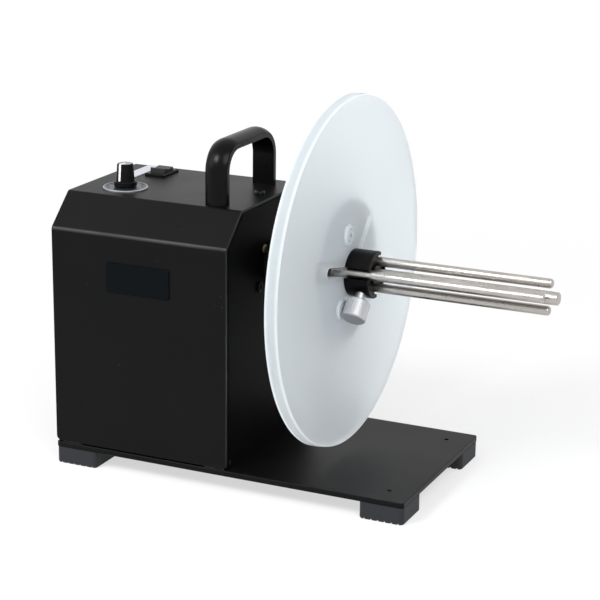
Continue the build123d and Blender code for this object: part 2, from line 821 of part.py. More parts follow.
def make_rocker():
    """Rocker cap: round below its pivot, a shallow valley on top, its front end up."""
    half = rocker_length / 2
    arc = ThreePointArc((half, 0), (0, -half), (-half, 0))
    low = rocker_rise - rocker_valley
    top = Polyline((-half, 0), (-half + 0.2, rocker_rise), (0, low), (half - 0.2, rocker_rise), (half, 0))
    face = make_face(Curve() + [arc, top])
    side_plane = Plane(origin=(-rocker_width / 2, 0, 0), x_dir=(0, 1, 0), z_dir=(1, 0, 0))
    cap = extrude(side_plane * face, amount=rocker_width)
    ridge = cap.edges().group_by(Axis.Z)[-1]
    cap = fillet(ridge, 0.5)
    hole = Rot(0, 90, 0) * Cylinder(rocker_pin_radius + running_clearance, 2 * rocker_pin_length + rocker_gap)
    for sx in (-1, 1):
        cap -= Pos(sx * rocker_width / 2, 0, 0) * hole
    return Pos(x_switch, switch_y, z_rocker_pivot) * Rot(-rocker_tilt, 0, 0) * cap


# ---- Power inlet ----
def inlet_cylinder(y0, y1, radius):
    place = Pos(x_left + inlet_from_left, (y0 + y1) / 2, z_plate + inlet_height)
    return place * Rot(90, 0, 0) * Cylinder(radius, abs(y1 - y0))


def make_power_inlet():
    """Round low-voltage socket in the back of the cover."""
    inlet = inlet_cylinder(half_depth, half_depth + 2.0, inlet_flange_diameter / 2)
    inlet = chamfer(inlet.edges().group_by(Axis.Y)[-1], 0.5)
    inlet += inlet_cylinder(half_depth - 13.0, half_depth, inlet_diameter / 2)
    inlet -= inlet_cylinder(half_depth - 9.0, half_depth + 2.0, inlet_bore / 2)
    return inlet + inlet_cylinder(half_depth - 9.0, half_depth + 0.5, inlet_pin / 2)


def make_inlet_nut():
    y_face = half_depth - cover_thickness
    place = Pos(x_left + inlet_from_left, y_face, z_plate + inlet_height) * Rot(90, 0, 0)
    nut = place * extrude(RegularPolygon(5.5, 6, major_radius=False), amount=2.0)
    return nut - inlet_cylinder(y_face - 3, y_face + 1, inlet_diameter / 2)


# ---- Bearings ----
def make_bearing_housing():
    """Flanged barrel that carries both bearings and shows as a short nose outside."""
    x_flange = x_right_inside - bearing_flange_thickness
    body = turned(x_flange, x_right_inside, bearing_flange_diameter / 2)
    body += turned(x_bearing_body_end, x_nose_end, nose_diameter / 2)
    body -= turned(x_bearing_body_end, x_nose_end, bearing_outer / 2 - 2.0)
    body -= turned(x_nose_end - bearing_width, x_nose_end, bearing_outer / 2)
    body -= turned(x_bearing_body_end, x_bearing_body_end + bearing_width, bearing_outer / 2)
    for y, z in bearing_screw_places:
        body -= turned(x_flange, x_right_inside, m3_diameter / 2, y, z)
    return body


bearing_starts = (x_bearing_body_end, x_nose_end - bearing_width)
ring_wall = 2.4


def make_bearing_outer_rings():
    outer = bearing_outer / 2
    return [
        turned(x, x + bearing_width, outer) - turned(x, x + bearing_width, outer - ring_wall)
        for x in bearing_starts
    ]


def make_bearing_inner_rings():
    inner = bearing_bore / 2
    return [
        turned(x, x + bearing_width, inner + ring_wall) - turned(x, x + bearing_width, inner)
        for x in bearing_starts
    ]


def make_bearing_balls():
    """Balls between the rings, with a little play."""
    middle = (bearing_bore / 2 + bearing_outer / 2) / 2
    radius = (bearing_outer - bearing_bore) / 4 - ring_wall - 0.03
    balls = []
    for x in bearing_starts:
        for i in range(bearing_balls):
            y, z = polar(middle, 360.0 * i / bearing_balls)
            balls.append(Pos(x + bearing_width / 2, y, z_axis + z) * Sphere(radius))
    return balls


def make_bearing_screws():
    """Round-head screws on the outer face of the side plate."""
    screws = []
    length = side_thickness + bearing_flange_thickness - 0.5
    for y, z in bearing_screw_places:
        head = turned(x_side, x_side + round_head_height, round_head_diameter / 2, y, z)
        head = fillet(head.edges().group_by(Axis.X)[-1], round_head_height * 0.6)
        shank = turned(x_side - length, x_side, m3_diameter / 2 - screw_clearance, y, z)
        slot = Pos(y, z) * Rot(0, 0, driver_slot_angle) * Rectangle(round_head_diameter, driver_slot_width)
        screws.append(head + shank - across(x_side + round_head_height - driver_slot_depth, x_side + 2, slot))
    return screws


# ---- Spindle ----
def make_spindle_shaft():
    shaft = turned(x_shaft_start, x_tip, shaft_diameter / 2)
    return chamfer(shaft.edges().group_by(Axis.X)[-1], 0.8)


def make_shaft_collar():
    """Stop collar against the outer bearing."""
    x0 = x_nose_end + loose_clearance
    collar = turned(x0, x0 + collar_width, collar_diameter / 2)
    collar = softened(collar, Axis.X, 0.5)
    collar -= turned(x0, x0 + collar_width, shaft_diameter / 2)
    return collar - post(x0 + collar_width / 2, 0, z_axis, z_axis + collar_diameter / 2, m3_diameter / 2)


def make_collar_screw():
    x = x_nose_end + loose_clearance + collar_width / 2
    top = z_axis + collar_diameter / 2 - 0.3
    screw = post(x, 0, z_axis + shaft_diameter / 2, top, m3_diameter / 2 - press_clearance)
    return screw - hex_socket(x, 0, top, hex_key_small, key_depth)


def make_coupling():
    """Rigid sleeve that joins the gear motor's shaft to the spindle."""
    sleeve = turned(x_coupling_left, x_coupling_right, coupling_diameter / 2)
    sleeve = softened(sleeve, Axis.X, 0.6)
    middle = x_shaft_start
    sleeve -= turned(middle, x_coupling_right, shaft_diameter / 2)
    sleeve -= turned(x_coupling_left, middle, motor_shaft_diameter / 2)
    for x in coupling_screw_stations:
        sleeve -= post(x, 0, z_axis, z_axis + coupling_diameter / 2, m4_diameter / 2)
    return sleeve


coupling_screw_stations = (x_coupling_left + 6.0, x_coupling_right - 6.0)


def make_coupling_screws():
    screws = []
    top = z_axis + coupling_diameter / 2 - 0.4
    for x, shaft in zip(coupling_screw_stations, (motor_shaft_diameter, shaft_diameter)):
        screw = post(x, 0, z_axis + shaft / 2, top, m4_diameter / 2 - press_clearance)
        screws.append(screw - hex_socket(x, 0, top, hex_key_medium, key_depth))
    return screws


# ---- Flange assembly that slides on the shaft ----
def make_hub():
    """Hub in front of the disc, with a sleeve that runs back through the whole stack."""
    front = turned(x_disc, x_disc + hub_length, hub_diameter / 2)
    front = softened(front, Axis.X, hub_chamfer)
    groove_width = finger_slot_width
    for angle in finger_angles:
        groove = Pos(finger_closed, 0) * Circle(groove_width / 2)
        groove += Pos(finger_closed + hub_diameter / 4, 0) * Rectangle(hub_diameter / 2, groove_width)
        front -= across(x_disc, x_disc + hub_length, Rot(0, 0, angle) * groove)
    front -= across(
        x_disc + hub_length - 1.2, x_disc + hub_length, Circle(hub_diameter / 2 - 2.4) - Circle(6.0)
    )
    hub = front + turned(x_sleeve_end, x_disc, sleeve_diameter / 2)
    hub -= turned(x_sleeve_end, x_disc + hub_length, shaft_diameter / 2 + running_clearance)
    hub -= thumb_cylinder(0, hub_diameter, m5_diameter / 2)
    return hub - thumb_cylinder(thumb_neck_start - 0.4, hub_diameter, thumb_neck_diameter / 2 + 0.2)


def thumb_cylinder(r0, r1, radius):
    """Cylinder along the thumb screw's radial axis, from radius r0 to r1."""
    y, z = polar(1.0, thumb_screw_angle)
    plane = Plane(
        origin=(x_disc + thumb_screw_station, r0 * y, z_axis + r0 * z), x_dir=(1, 0, 0), z_dir=(0, y, z)
    )
    return extrude(plane * Circle(radius), amount=r1 - r0)


def make_thumb_screw():
    """Knurled screw that clamps the hub to the shaft."""
    y, z = polar(1.0, thumb_screw_angle)
    r0 = thumb_knob_start
    plane = Plane(
        origin=(x_disc + thumb_screw_station, r0 * y, z_axis + r0 * z), x_dir=(1, 0, 0), z_dir=(0, y, z)
    )
    knurled = extrude(plane * fluted_circle(thumb_knob_diameter / 2, 44, 0.3), amount=thumb_knob_length)
    envelope = extrude(plane * Circle(thumb_knob_diameter / 2), amount=thumb_knob_length)
    knob = knurled & chamfer(envelope.edges(), 0.7)
    neck = thumb_cylinder(thumb_neck_start, r0, thumb_neck_diameter / 2)
    shank = thumb_cylinder(shaft_diameter / 2 + 0.1, thumb_neck_start, m5_diameter / 2 - running_clearance)
    return knob + neck + shank


def slot_star(width):
    """Three radial slots that meet at the middle."""
    star = radial_slot(width, 0.0, finger_open, finger_angles[0])
    for angle in finger_angles[1:]:
        star += radial_slot(width, 0.0, finger_open, angle)
    return star


def make_disc():
    """Flange disc with a slightly tapered front rim and three finger slots."""
    radius = disc_diameter / 2
    disc = turned(x_disc_back, x_disc, radius)
    disc = chamfer(disc.edges().group_by(Axis.X)[0], edge_break)
    front = disc.edges().group_by(Axis.X)[-1]
    rim = disc.faces().filter_by(GeomType.CYLINDER)[0]
    disc = chamfer(front, disc_bevel_width, disc_bevel_depth, reference=rim)
    disc -= across(x_disc_back, x_disc, slot_star(finger_slot_width))
    disc -= turned(x_disc_back, x_disc, sleeve_diameter / 2 + screw_clearance)
    for angle in between_angles:
        disc -= turned(x_disc_back, x_disc, m4_diameter / 2 + 0.2, *polar(flange_screw_circle, angle))
    return disc


def make_carrier():
    """Backing plate behind the disc, with a guide channel for each finger block."""
    carrier = turned(x_carrier_back, x_disc_back, carrier_diameter / 2)
    carrier = softened(carrier, Axis.X, 0.6)
    channel_width = block_width + 2 * guide_clearance
    channel_end = finger_open + block_length - block_inner_wall + 0.5
    for angle in finger_angles:
        bar = Rot(0, 0, angle) * Pos(channel_end / 2, 0) * Rectangle(channel_end, channel_width)
        carrier -= across(x_channel_floor, x_disc_back, bar)
        tail_slot = radial_slot(tail_slot_width, finger_closed, finger_open, angle)
        tail_slot += Pos(*polar(finger_closed, angle)) * Circle(tail_slot_width / 2)
        carrier -= across(x_carrier_back, x_channel_floor, tail_slot)
    carrier -= turned(x_carrier_back, x_disc_back, sleeve_diameter / 2 + 0.01)
    for angle in between_angles:
        carrier -= turned(x_carrier_back, x_disc_back, m4_diameter / 2, *polar(flange_screw_circle, angle))
    return carrier


def make_cup_washers():
    """Dished washers under the three screws on the face of the disc."""
    washers = []
    for angle in between_angles:
        y, z = polar(flange_screw_circle, angle)
        ring = turned(x_disc, x_disc + cup_washer_height, cup_washer_diameter / 2, y, z)
        ring = chamfer(ring.edges().group_by(Axis.X)[-1], 1.1)
        ring -= turned(x_disc, x_disc + cup_washer_height, 4.3, y, z)
        ring += turned(x_disc, x_disc + 0.4, 4.4, y, z)
        washers.append(ring - turned(x_disc, x_disc + 0.4, m4_diameter / 2 + 0.2, y, z))
    return washers


def make_flange_screws():
    """Screws that hold the disc to its carrier."""
    screws = []
    for angle in between_angles:
        y, z = polar(flange_screw_circle, angle)
        x_head = x_disc + 0.4
        head = turned(x_head, x_head + 1.5, 4.0, y, z)
        head = fillet(head.edges().group_by(Axis.X)[-1], 0.6)
        shank = turned(x_carrier_back + 0.5, x_head, m4_diameter / 2 - press_clearance, y, z)
        socket = across(x_head + 0.3, x_head + 2, Pos(y, z) * RegularPolygon(1.25, 6, major_radius=False))
        screws.append(head + shank - socket)
    return screws


# ---- Core fingers ----
def make_finger_rod(angle):
    """Round-ended rod with a thinner tail that reaches back into the scroll."""
    y, z = polar(finger_closed, angle)
    x_shoulder = x_disc_back - loose_clearance
    rod = turned(x_shoulder, x_disc + finger_reach, finger_radius, y, z)
    rod = fillet(rod.edges().group_by(Axis.X)[-1], finger_radius * 0.7)
    return rod + turned(x_scroll_back + 1.0, x_shoulder, tail_radius, y, z)


def make_finger_block(angle):
    """Sliding block fixed on the rod's tail."""
    x0 = x_channel_floor + 0.1
    x1 = x_disc_back - loose_clearance
    middle = finger_closed - block_inner_wall + block_length / 2
    outline = Rectangle(block_length, block_width) - Pos(finger_closed - middle, 0) * Circle(tail_radius)
    return across(x0, x1, Rot(0, 0, angle) * Pos(middle, 0) * outline)


def scroll_slot(start_angle):
    """Spiral slot outline: the radius grows evenly as the angle runs back from its start."""
    half = tail_slot_width / 2
    samples = 28
    left, right = [], []
    for i in range(samples + 1):
        turn = radians(scroll_turn) * i / samples
        growth = scroll_lead / (2 * pi)
        r = finger_closed + growth * turn
        a = radians(start_angle) - turn
        along = (growth * cos(a) + r * sin(a), growth * sin(a) - r * cos(a))
        size = hypot(*along)
        nx, ny = -along[1] / size, along[0] / size
        left.append((r * cos(a) + half * nx, r * sin(a) + half * ny))
        right.append((r * cos(a) - half * nx, r * sin(a) - half * ny))
        if i == 0:
            first_tip = (r * cos(a) - half * along[0] / size, r * sin(a) - half * along[1] / size)
        if i == samples:
            last_tip = (r * cos(a) + half * along[0] / size, r * sin(a) + half * along[1] / size)
    edges = [
        Spline(*left),
        ThreePointArc(left[-1], last_tip, right[-1]),
        Spline(*right[::-1]),
        ThreePointArc(right[0], first_tip, left[0]),
    ]
    return make_face(Curve() + edges)


def make_scroll_plate():
    """Hand-turned plate whose three spiral slots drive the fingers in and out together."""
    outline = fluted_circle(scroll_diameter / 2, 60, 0.9)
    plate = across(x_scroll_back, x_scroll_front, outline)
    for angle in finger_angles:
        plate -= across(x_scroll_back, x_scroll_front, scroll_slot(angle))
    return plate - turned(x_scroll_back, x_scroll_front, sleeve_diameter / 2 + running_clearance)


def make_clamp_nut():
    """Knurled nut that locks the scroll plate against the carrier."""
    nut = across(x_nut_back, x_nut_front, fluted_circle(clamp_nut_diameter / 2, 36, 0.7))
    return nut - turned(x_nut_back, x_nut_front, sleeve_diameter / 2 + running_clearance)


# ---- Gear motor ----
def make_gearbox():
    box = turned(x_gearbox_left, x_bracket_left, gearbox_diameter / 2)
    box = softened(box, Axis.X, 0.6)
    box += turned(x_bracket_left, x_bracket_right, gearbox_boss_diameter / 2)
    box -= turned(x_gearbox_left + 4.0, x_bracket_right, motor_shaft_diameter / 2 + running_clearance)
    for angle in gearbox_screw_angles:
        y, z = polar(gearbox_screw_circle, angle)
        box -= turned(x_bracket_left - 5.0, x_bracket_left, m3_diameter / 2, y, z)
    return box


gearbox_screw_angles = (45.0, 135.0, 225.0, 315.0)


def make_motor():
    motor = turned(x_motor_left, x_gearbox_left, motor_diameter / 2)
    motor = softened(motor, Axis.X, 1.0)
    for sy in (-1, 1):
        z0 = z_axis - 2.0
        motor += block(x_motor_left - 1.2, x_motor_left, sy * 9.0 - 0.4, sy * 9.0 + 0.4, z0, z0 + 4.0)
    return motor


def make_motor_shaft():
    return turned(x_gearbox_left + 4.3, x_shaft_start - 0.5, motor_shaft_diameter / 2)


def make_motor_bracket():
    """Upright plate for the gear motor, with a foot on the base plate."""
    z_high = z_axis + bracket_rise
    upright = block(x_bracket_left, x_bracket_right, -bracket_width / 2, bracket_width / 2, z_plate, z_high)
    tops = upright.edges().filter_by(Axis.X).group_by(Axis.Z)[-1]
    upright = fillet(tops, bracket_corner)
    foot = block(
        x_bracket_left - bracket_foot, x_bracket_left, -bracket_width / 2, bracket_width / 2, z_plate,
        z_plate + bracket_thickness,
    )
    bracket = upright + foot
    bracket -= turned(x_bracket_left, x_bracket_right, gearbox_boss_diameter / 2 + screw_clearance)
    for angle in gearbox_screw_angles:
        y, z = polar(gearbox_screw_circle, angle)
        bracket -= turned(x_bracket_left, x_bracket_right, m3_diameter / 2 + screw_clearance, y, z)
    for x, y in bracket_foot_holes:
        bracket -= post(x, y, z_plate, z_plate + bracket_thickness, m4_diameter / 2)
    return bracket


def make_gearbox_screws():
    screws = []
    for angle in gearbox_screw_angles:
        y, z = polar(gearbox_screw_circle, angle)
        head = turned(x_bracket_right, x_bracket_right + 2.0, round_head_diameter / 2, y, z)
        shank = turned(x_bracket_left - 4.5, x_bracket_right, m3_diameter / 2 - press_clearance, y, z)
        socket = across(x_bracket_right + 0.8, x_bracket_right + 3, Pos(y, z) * RegularPolygon(1.0, 6))
        screws.append(head + shank - socket)
    return screws


def make_bracket_screws():
    length = plate_thickness + bracket_thickness - 0.3
    return [countersunk_from_below(x, y, z_plate_bottom, length) for x, y in bracket_foot_holes]


# ---- Control board ----
board_x0 = x_left_inside + standoff_length
board_holes = [
    (sy * (board_width / 2 - board_hole_inset), sz * (board_height / 2 - board_hole_inset))
    for sy in (-1, 1)
    for sz in (-1, 1)
]
board_z = z_plate + board_centre_height


def board_post(x0, x1, radius, y, z):
    return turned(x0, x1, radius, y, board_z - z_axis + z)


def make_board_standoffs():
    return [
        board_post(x_left_inside, board_x0, 3.0, y, z) - board_post(board_x0 - 6, board_x0, 1.5, y, z)
        for y, z in board_holes
    ]


def make_control_board():
    board = block(
        board_x0, board_x0 + board_thickness, -board_width / 2, board_width / 2, board_z - board_height / 2,
        board_z + board_height / 2,
    )
    for y, z in board_holes:
        board -= board_post(board_x0, board_x0 + board_thickness, m3_diameter / 2 + screw_clearance, y, z)
    return board


def make_board_screws():
    x1 = board_x0 + board_thickness
    shank = m3_diameter / 2 - press_clearance
    return [
        board_post(x1, x1 + round_head_height, round_head_diameter / 2, y, z) + board_post(board_x0 - 5, x1, shank, y, z)
        for y, z in board_holes
    ]


def make_board_parts():
    """Heat sink, two capacitors and a terminal block on the control board."""
    x1 = board_x0 + board_thickness
    sink = block(x1, x1 + 3, -30, -8, board_z - 16, board_z + 20)
    for i in range(6):
        y = -29.0 + i * 4.0
        sink += block(x1 + 3, x1 + 14, y - 0.6, y + 0.6, board_z - 16, board_z + 20)
    parts = [sink]
    for z in (-8.0, 8.0):
        can = board_post(x1, x1 + 14, 5.0, 6.0, z)
        parts.append(chamfer(can.edges().group_by(Axis.X)[-1], 0.8))
    terminal = block(x1, x1 + 10, 18, 28, board_z - 18, board_z + 18)
    for i in range(6):
        z = -15.0 + 6.0 * i
        terminal -= board_post(x1 + 8, x1 + 10, 1.8, 23.0, z)
    parts.append(terminal)
    return parts


# ---- All named pieces ----
def build_parts():
    parts = {
        "base_plate": make_base_plate(),
        "foot_screws": make_foot_screws(),
        "side_plate_right": make_right_side_plate(),
        "side_plate_left": make_left_side_plate(),
        "side_plug": make_side_plug(),
        "base_angles": [make_base_angle(x_right_inside, -1), make_base_angle(x_left_inside, 1)],
        "base_angle_screws": make_angle_screws(),
        "side_rivets": make_side_rivets(),
        "cover": make_cover(),
        "cover_screws": make_cover_screws(),
        "badge_plate": make_badge_plate(),
        "label_strip": make_label_strip(),
        "handle": make_handle(),
        "handle_screws": make_handle_screws(),
        "dial_plate": make_dial_plate(),
        "knob_body": make_knob_body(),
        "knob_cap": make_knob_cap(),
        "knob_pointer": make_knob_pointer(),
        "potentiometer": make_potentiometer(),
        "potentiometer_shaft": make_potentiometer_shaft(),
        "potentiometer_nut": make_potentiometer_nut(),
        "switch_body": make_switch_body(),
        "rocker": make_rocker(),
        "power_inlet": make_power_inlet(),
        "inlet_nut": make_inlet_nut(),
        "bearing_housing": make_bearing_housing(),
        "bearing_outer_rings": make_bearing_outer_rings(),
        "bearing_inner_rings": make_bearing_inner_rings(),
        "bearing_balls": make_bearing_balls(),
        "bearing_housing_screws": make_bearing_screws(),
        "spindle_shaft": make_spindle_shaft(),
        "shaft_collar": make_shaft_collar(),
        "collar_screw": make_collar_screw(),
        "coupling": make_coupling(),
        "coupling_screws": make_coupling_screws(),
        "gearbox": make_gearbox(),
        "motor": make_motor(),
        "motor_shaft": make_motor_shaft(),
        "motor_bracket": make_motor_bracket(),
        "gearbox_screws": make_gearbox_screws(),
        "motor_bracket_screws": make_bracket_screws(),
        "board_standoffs": make_board_standoffs(),
        "control_board": make_control_board(),
        "board_screws": make_board_screws(),
        "board_parts": make_board_parts(),
        "hub": make_hub(),
        "thumb_screw": make_thumb_screw(),
        "flange_disc": make_disc(),
        "carrier": make_carrier(),
        "cup_washers": make_cup_washers(),
        "flange_screws": make_flange_screws(),
        "scroll_plate": make_scroll_plate(),
        "clamp_nut": make_clamp_nut(),
    }
    foot_names = ("foot_front_left", "foot_back_left", "foot_front_right", "foot_back_right")
    for name, centre, screw_place in zip(foot_names, foot_centres, foot_screw_places):
        parts[name] = make_foot(centre, screw_place)
    for number, angle in enumerate(finger_angles, start=1):
        rod = make_finger_rod(angle)
        parts[f"finger_{number}"] = [rod, make_finger_block(angle)]
    return parts


def write_parts(parts):
    """One STEP file for each named piece; like fasteners share a file as separate solids."""
    os.makedirs("parts", exist_ok=True)
    for name, shape in parts.items():
        if isinstance(shape, list):
            shape = Compound(children=[solid for piece in shape for solid in piece.solids()])
        export_step(shape, f"parts/{name}.step")


if __name__ == "__main__":
    write_parts(build_parts())
    print(f"finger travel {finger_travel:.3f} mm, scroll turn {scroll_turn:.3f} degrees")
    print(f"overall length {total_length:.1f} mm, spindle axis at z {z_axis:.1f} mm")
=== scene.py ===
"""Looks of the bench label rewinder: finishes, studio and camera.

Laid out as an add-on and run as a script. Lengths are in metres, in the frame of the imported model:
+X along the spindle, -Y the badge side, +Z up.
"""

from math import cos, radians, sin

import bpy
import numpy as np
from bpy.props import FloatProperty, FloatVectorProperty, PointerProperty
from mathutils import Matrix, Vector


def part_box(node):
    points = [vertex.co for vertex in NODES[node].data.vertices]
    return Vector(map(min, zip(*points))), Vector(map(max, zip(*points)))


bl_info = {
    "name": "Bench Label Rewinder",
    "version": (1, 0, 0),
    "blender": (4, 5, 0),
    "location": "View3D > Sidebar > Rewinder",
    "description": "Finishes the packed rewinder and sets up its studio",
    "category": "Object",
}

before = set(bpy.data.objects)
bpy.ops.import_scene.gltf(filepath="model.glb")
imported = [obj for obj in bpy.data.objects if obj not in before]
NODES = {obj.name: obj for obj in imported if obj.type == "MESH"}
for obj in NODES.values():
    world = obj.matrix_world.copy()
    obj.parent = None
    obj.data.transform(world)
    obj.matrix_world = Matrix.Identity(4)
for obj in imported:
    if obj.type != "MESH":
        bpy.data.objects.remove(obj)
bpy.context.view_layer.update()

WHITE = (1, 1, 1, 1)
BLACK = (0, 0, 0, 1)


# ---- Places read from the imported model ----
def middle(piece):
    """Centre of a CAD node's box."""
    low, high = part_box(piece)
    return (low + high) / 2


def half_width(piece):
    """Half of a CAD node's size along y, which is the radius of a round piece."""
    low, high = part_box(piece)
    return (high.y - low.y) / 2


# ---- Shader building ----
FLOAT = "NodeSocketFloat"
COLOUR = "NodeSocketColor"
VECTOR = "NodeSocketVector"

# Where a Mix node that is set to colours has its two colours and its result
MIX_FIRST, MIX_SECOND, MIX_RESULT = 6, 7, 2

NOISE_MIDDLE = 0.5  # the value that a noise texture swings about


def feed(tree, value, socket):
    """Links an output to a socket, or sets a plain number, triple or colour on it."""
    if isinstance(value, bpy.types.NodeSocket):
        tree.links.new(value, socket)
    else:
        socket.default_value = value


def node(tree, kind, **values):
    """New node with its attributes set, and its inputs where the name starts with in_."""
    made = tree.nodes.new(kind)
    for key, value in values.items():
        if key.startswith("in_"):
            label = key[3:].replace("_", " ")
            made.inputs[label].default_value = value
        else:
            setattr(made, key, value)
    return made


def maths(tree, operation, *values, clamp=False):
    """Math node on sockets or numbers; returns its output."""
    made = node(tree, "ShaderNodeMath", operation=operation, use_clamp=clamp)
    for value, socket in zip(values, made.inputs):
        feed(tree, value, socket)
    return made.outputs[0]


def vector_maths(tree, operation, *values):
    """Vector Math node on sockets or triples; returns the node, whose result is Vector or Value."""
    made = node(tree, "ShaderNodeVectorMath", operation=operation)
    for value, socket in zip(values, made.inputs):
        feed(tree, value, socket)
    return made


def span(tree, value, low, high, to_low, to_high):
    """Map Range node, held within its ends; returns its output."""
    made = node(tree, "ShaderNodeMapRange", clamp=True)
    labels = ("Value", "From Min", "From Max", "To Min", "To Max")
    for label, item in zip(labels, (value, low, high, to_low, to_high)):
        feed(tree, item, made.inputs[label])
    return made.outputs["Result"]


def noise(tree, vector, scale, detail, roughness=0.5):
    """Noise texture; returns its value."""
    made = node(tree, "ShaderNodeTexNoise", in_Detail=detail, in_Roughness=roughness)
    feed(tree, vector, made.inputs["Vector"])
    feed(tree, scale, made.inputs["Scale"])
    return made.outputs["Fac"]


def swing(tree, value, amount):
    """A noise value moved so that it swings about zero, times an amount."""
    return maths(tree, "MULTIPLY", maths(tree, "SUBTRACT", value, NOISE_MIDDLE), amount)


def blend(tree, mask, first, second):
    """First colour where the mask is 0 and second where it is 1; returns the output."""
    made = node(tree, "ShaderNodeMix", data_type="RGBA")
    feed(tree, mask, made.inputs["Factor"])
    feed(tree, first, made.inputs[MIX_FIRST])
    feed(tree, second, made.inputs[MIX_SECOND])
    return made.outputs[MIX_RESULT]


def scaled(tree, colour, factor):
    """Colour times a number; returns the output."""
    made = node(tree, "ShaderNodeVectorMath", operation="SCALE")
    feed(tree, colour, made.inputs[0])
    feed(tree, factor, made.inputs["Scale"])
    return made.outputs["Vector"]


def split(tree, vector):
    """The three numbers of a vector, as outputs named X, Y and Z."""
    made = node(tree, "ShaderNodeSeparateXYZ")
    feed(tree, vector, made.inputs[0])
    return made.outputs


# ---- Shader groups that several materials share ----
def group_tree(name, inputs, outputs):
    """Shader group with named inputs (name, kind, default) and outputs (name, kind).

    Returns the tree, the sockets that bring its inputs in and the sockets that take its outputs."""
    tree = bpy.data.node_groups.new(name, "ShaderNodeTree")
    for label, kind, default in inputs:
        socket = tree.interface.new_socket(name=label, in_out="INPUT", socket_type=kind)
        if default is not None:
            socket.default_value = default
    for label, kind in outputs:
        tree.interface.new_socket(name=label, in_out="OUTPUT", socket_type=kind)
    given = tree.nodes.new("NodeGroupInput").outputs
    result = tree.nodes.new("NodeGroupOutput").inputs
    return tree, given, result


CLOUD_SCALE = 14.0  # cloudy patches in a metre
CLOUD_COLOUR_SHARE = 2.0  # how much more the clouds change the colour than the roughness
SPECK_CELLS = 260.0  # cells in a metre, each with room for one speck
SPECK_EDGE = (0.03, 0.10)  # distance from a cell's point, in cells, where a speck is full and ends
SPECK_PATCH_SCALE = 60.0
SPECK_PATCHES = (0.62, 0.66)  # noise values at which specks begin and are full
SPECK_COLOUR = (0.22, 0.22, 0.21, 1)
SPECK_ROUGHNESS = 0.3
SPECK_HEIGHT = 0.4


def make_skin_grain():
    """Coating or moulded skin: fine bumps, a broad cloudiness in colour and gloss, and rare specks."""
    tree, given, result = group_tree(
        "skin_grain",
        [
            ("Vector", VECTOR, None),
            ("Colour", COLOUR, (0.02, 0.02, 0.02, 1)),
            ("Roughness", FLOAT, 0.4),
            ("Grain", FLOAT, 900.0),
            ("Cloud", FLOAT, 0.12),
            ("Specks", FLOAT, 0.25),
        ],
        [("Colour", COLOUR), ("Roughness", FLOAT), ("Height", FLOAT)],
    )
    fine = noise(tree, given["Vector"], given["Grain"], detail=3.0, roughness=0.6)
    broad = noise(tree, given["Vector"], CLOUD_SCALE, detail=4.0, roughness=0.55)
    patches = noise(tree, given["Vector"], SPECK_PATCH_SCALE, detail=2.0)
    cells = node(tree, "ShaderNodeTexVoronoi", in_Scale=SPECK_CELLS, in_Randomness=1.0)
    feed(tree, given["Vector"], cells.inputs["Vector"])
    dot = span(tree, cells.outputs["Distance"], *SPECK_EDGE, 1.0, 0.0)
    rare = span(tree, patches, *SPECK_PATCHES, 0.0, 1.0)
    dust = maths(tree, "MULTIPLY", maths(tree, "MULTIPLY", dot, rare), given["Specks"], clamp=True)

    cloud = swing(tree, broad, given["Cloud"])
    bright = maths(tree, "ADD", 1.0, maths(tree, "MULTIPLY", cloud, CLOUD_COLOUR_SHARE))
    feed(tree, blend(tree, dust, scaled(tree, given["Colour"], bright), SPECK_COLOUR), result["Colour"])
    rough = maths(tree, "ADD", given["Roughness"], cloud)
    rough = maths(tree, "ADD", rough, maths(tree, "MULTIPLY", dust, SPECK_ROUGHNESS), clamp=True)
    feed(tree, rough, result["Roughness"])
    height = maths(tree, "ADD", fine, maths(tree, "MULTIPLY", dust, SPECK_HEIGHT))
    feed(tree, height, result["Height"])
    return tree


STAIN_SCALE = 0.35  # stains against the stretched coordinates of the metals
STAIN_COLOUR_SHARE = 1.2  # how much more the stains change the colour than the roughness


def make_tool_marks():
    """Turned or drawn metal: fine lines across one axis, broken up along the other, with faint stains."""
    tree, given, result = group_tree(
        "tool_marks",
        [
            ("Vector", VECTOR, None),
            ("Colour", COLOUR, (0.6, 0.6, 0.6, 1)),
            ("Roughness", FLOAT, 0.25),
            ("Spread", FLOAT, 0.1),
            ("Line Scale", FLOAT, 1.0),
        ],
        [("Colour", COLOUR), ("Roughness", FLOAT), ("Height", FLOAT)],
    )
    lines = noise(tree, given["Vector"], given["Line Scale"], detail=4.0, roughness=0.7)
    stains = noise(tree, given["Vector"], STAIN_SCALE, detail=4.0, roughness=0.6)
    stain = swing(tree, stains, given["Spread"])
    scratch = swing(tree, lines, given["Spread"])
    rough = maths(tree, "ADD", given["Roughness"], maths(tree, "ADD", stain, scratch), clamp=True)
    feed(tree, rough, result["Roughness"])
    change = maths(tree, "ADD", maths(tree, "MULTIPLY", stain, STAIN_COLOUR_SHARE), scratch)
    feed(tree, scaled(tree, given["Colour"], maths(tree, "ADD", 1.0, change)), result["Colour"])
    feed(tree, lines, result["Height"])
    return tree


# The two directions across a round piece's axis, for an axis along x and along z
ACROSS_X = (0, 1, 1)
ACROSS_Z = (1, 1, 0)


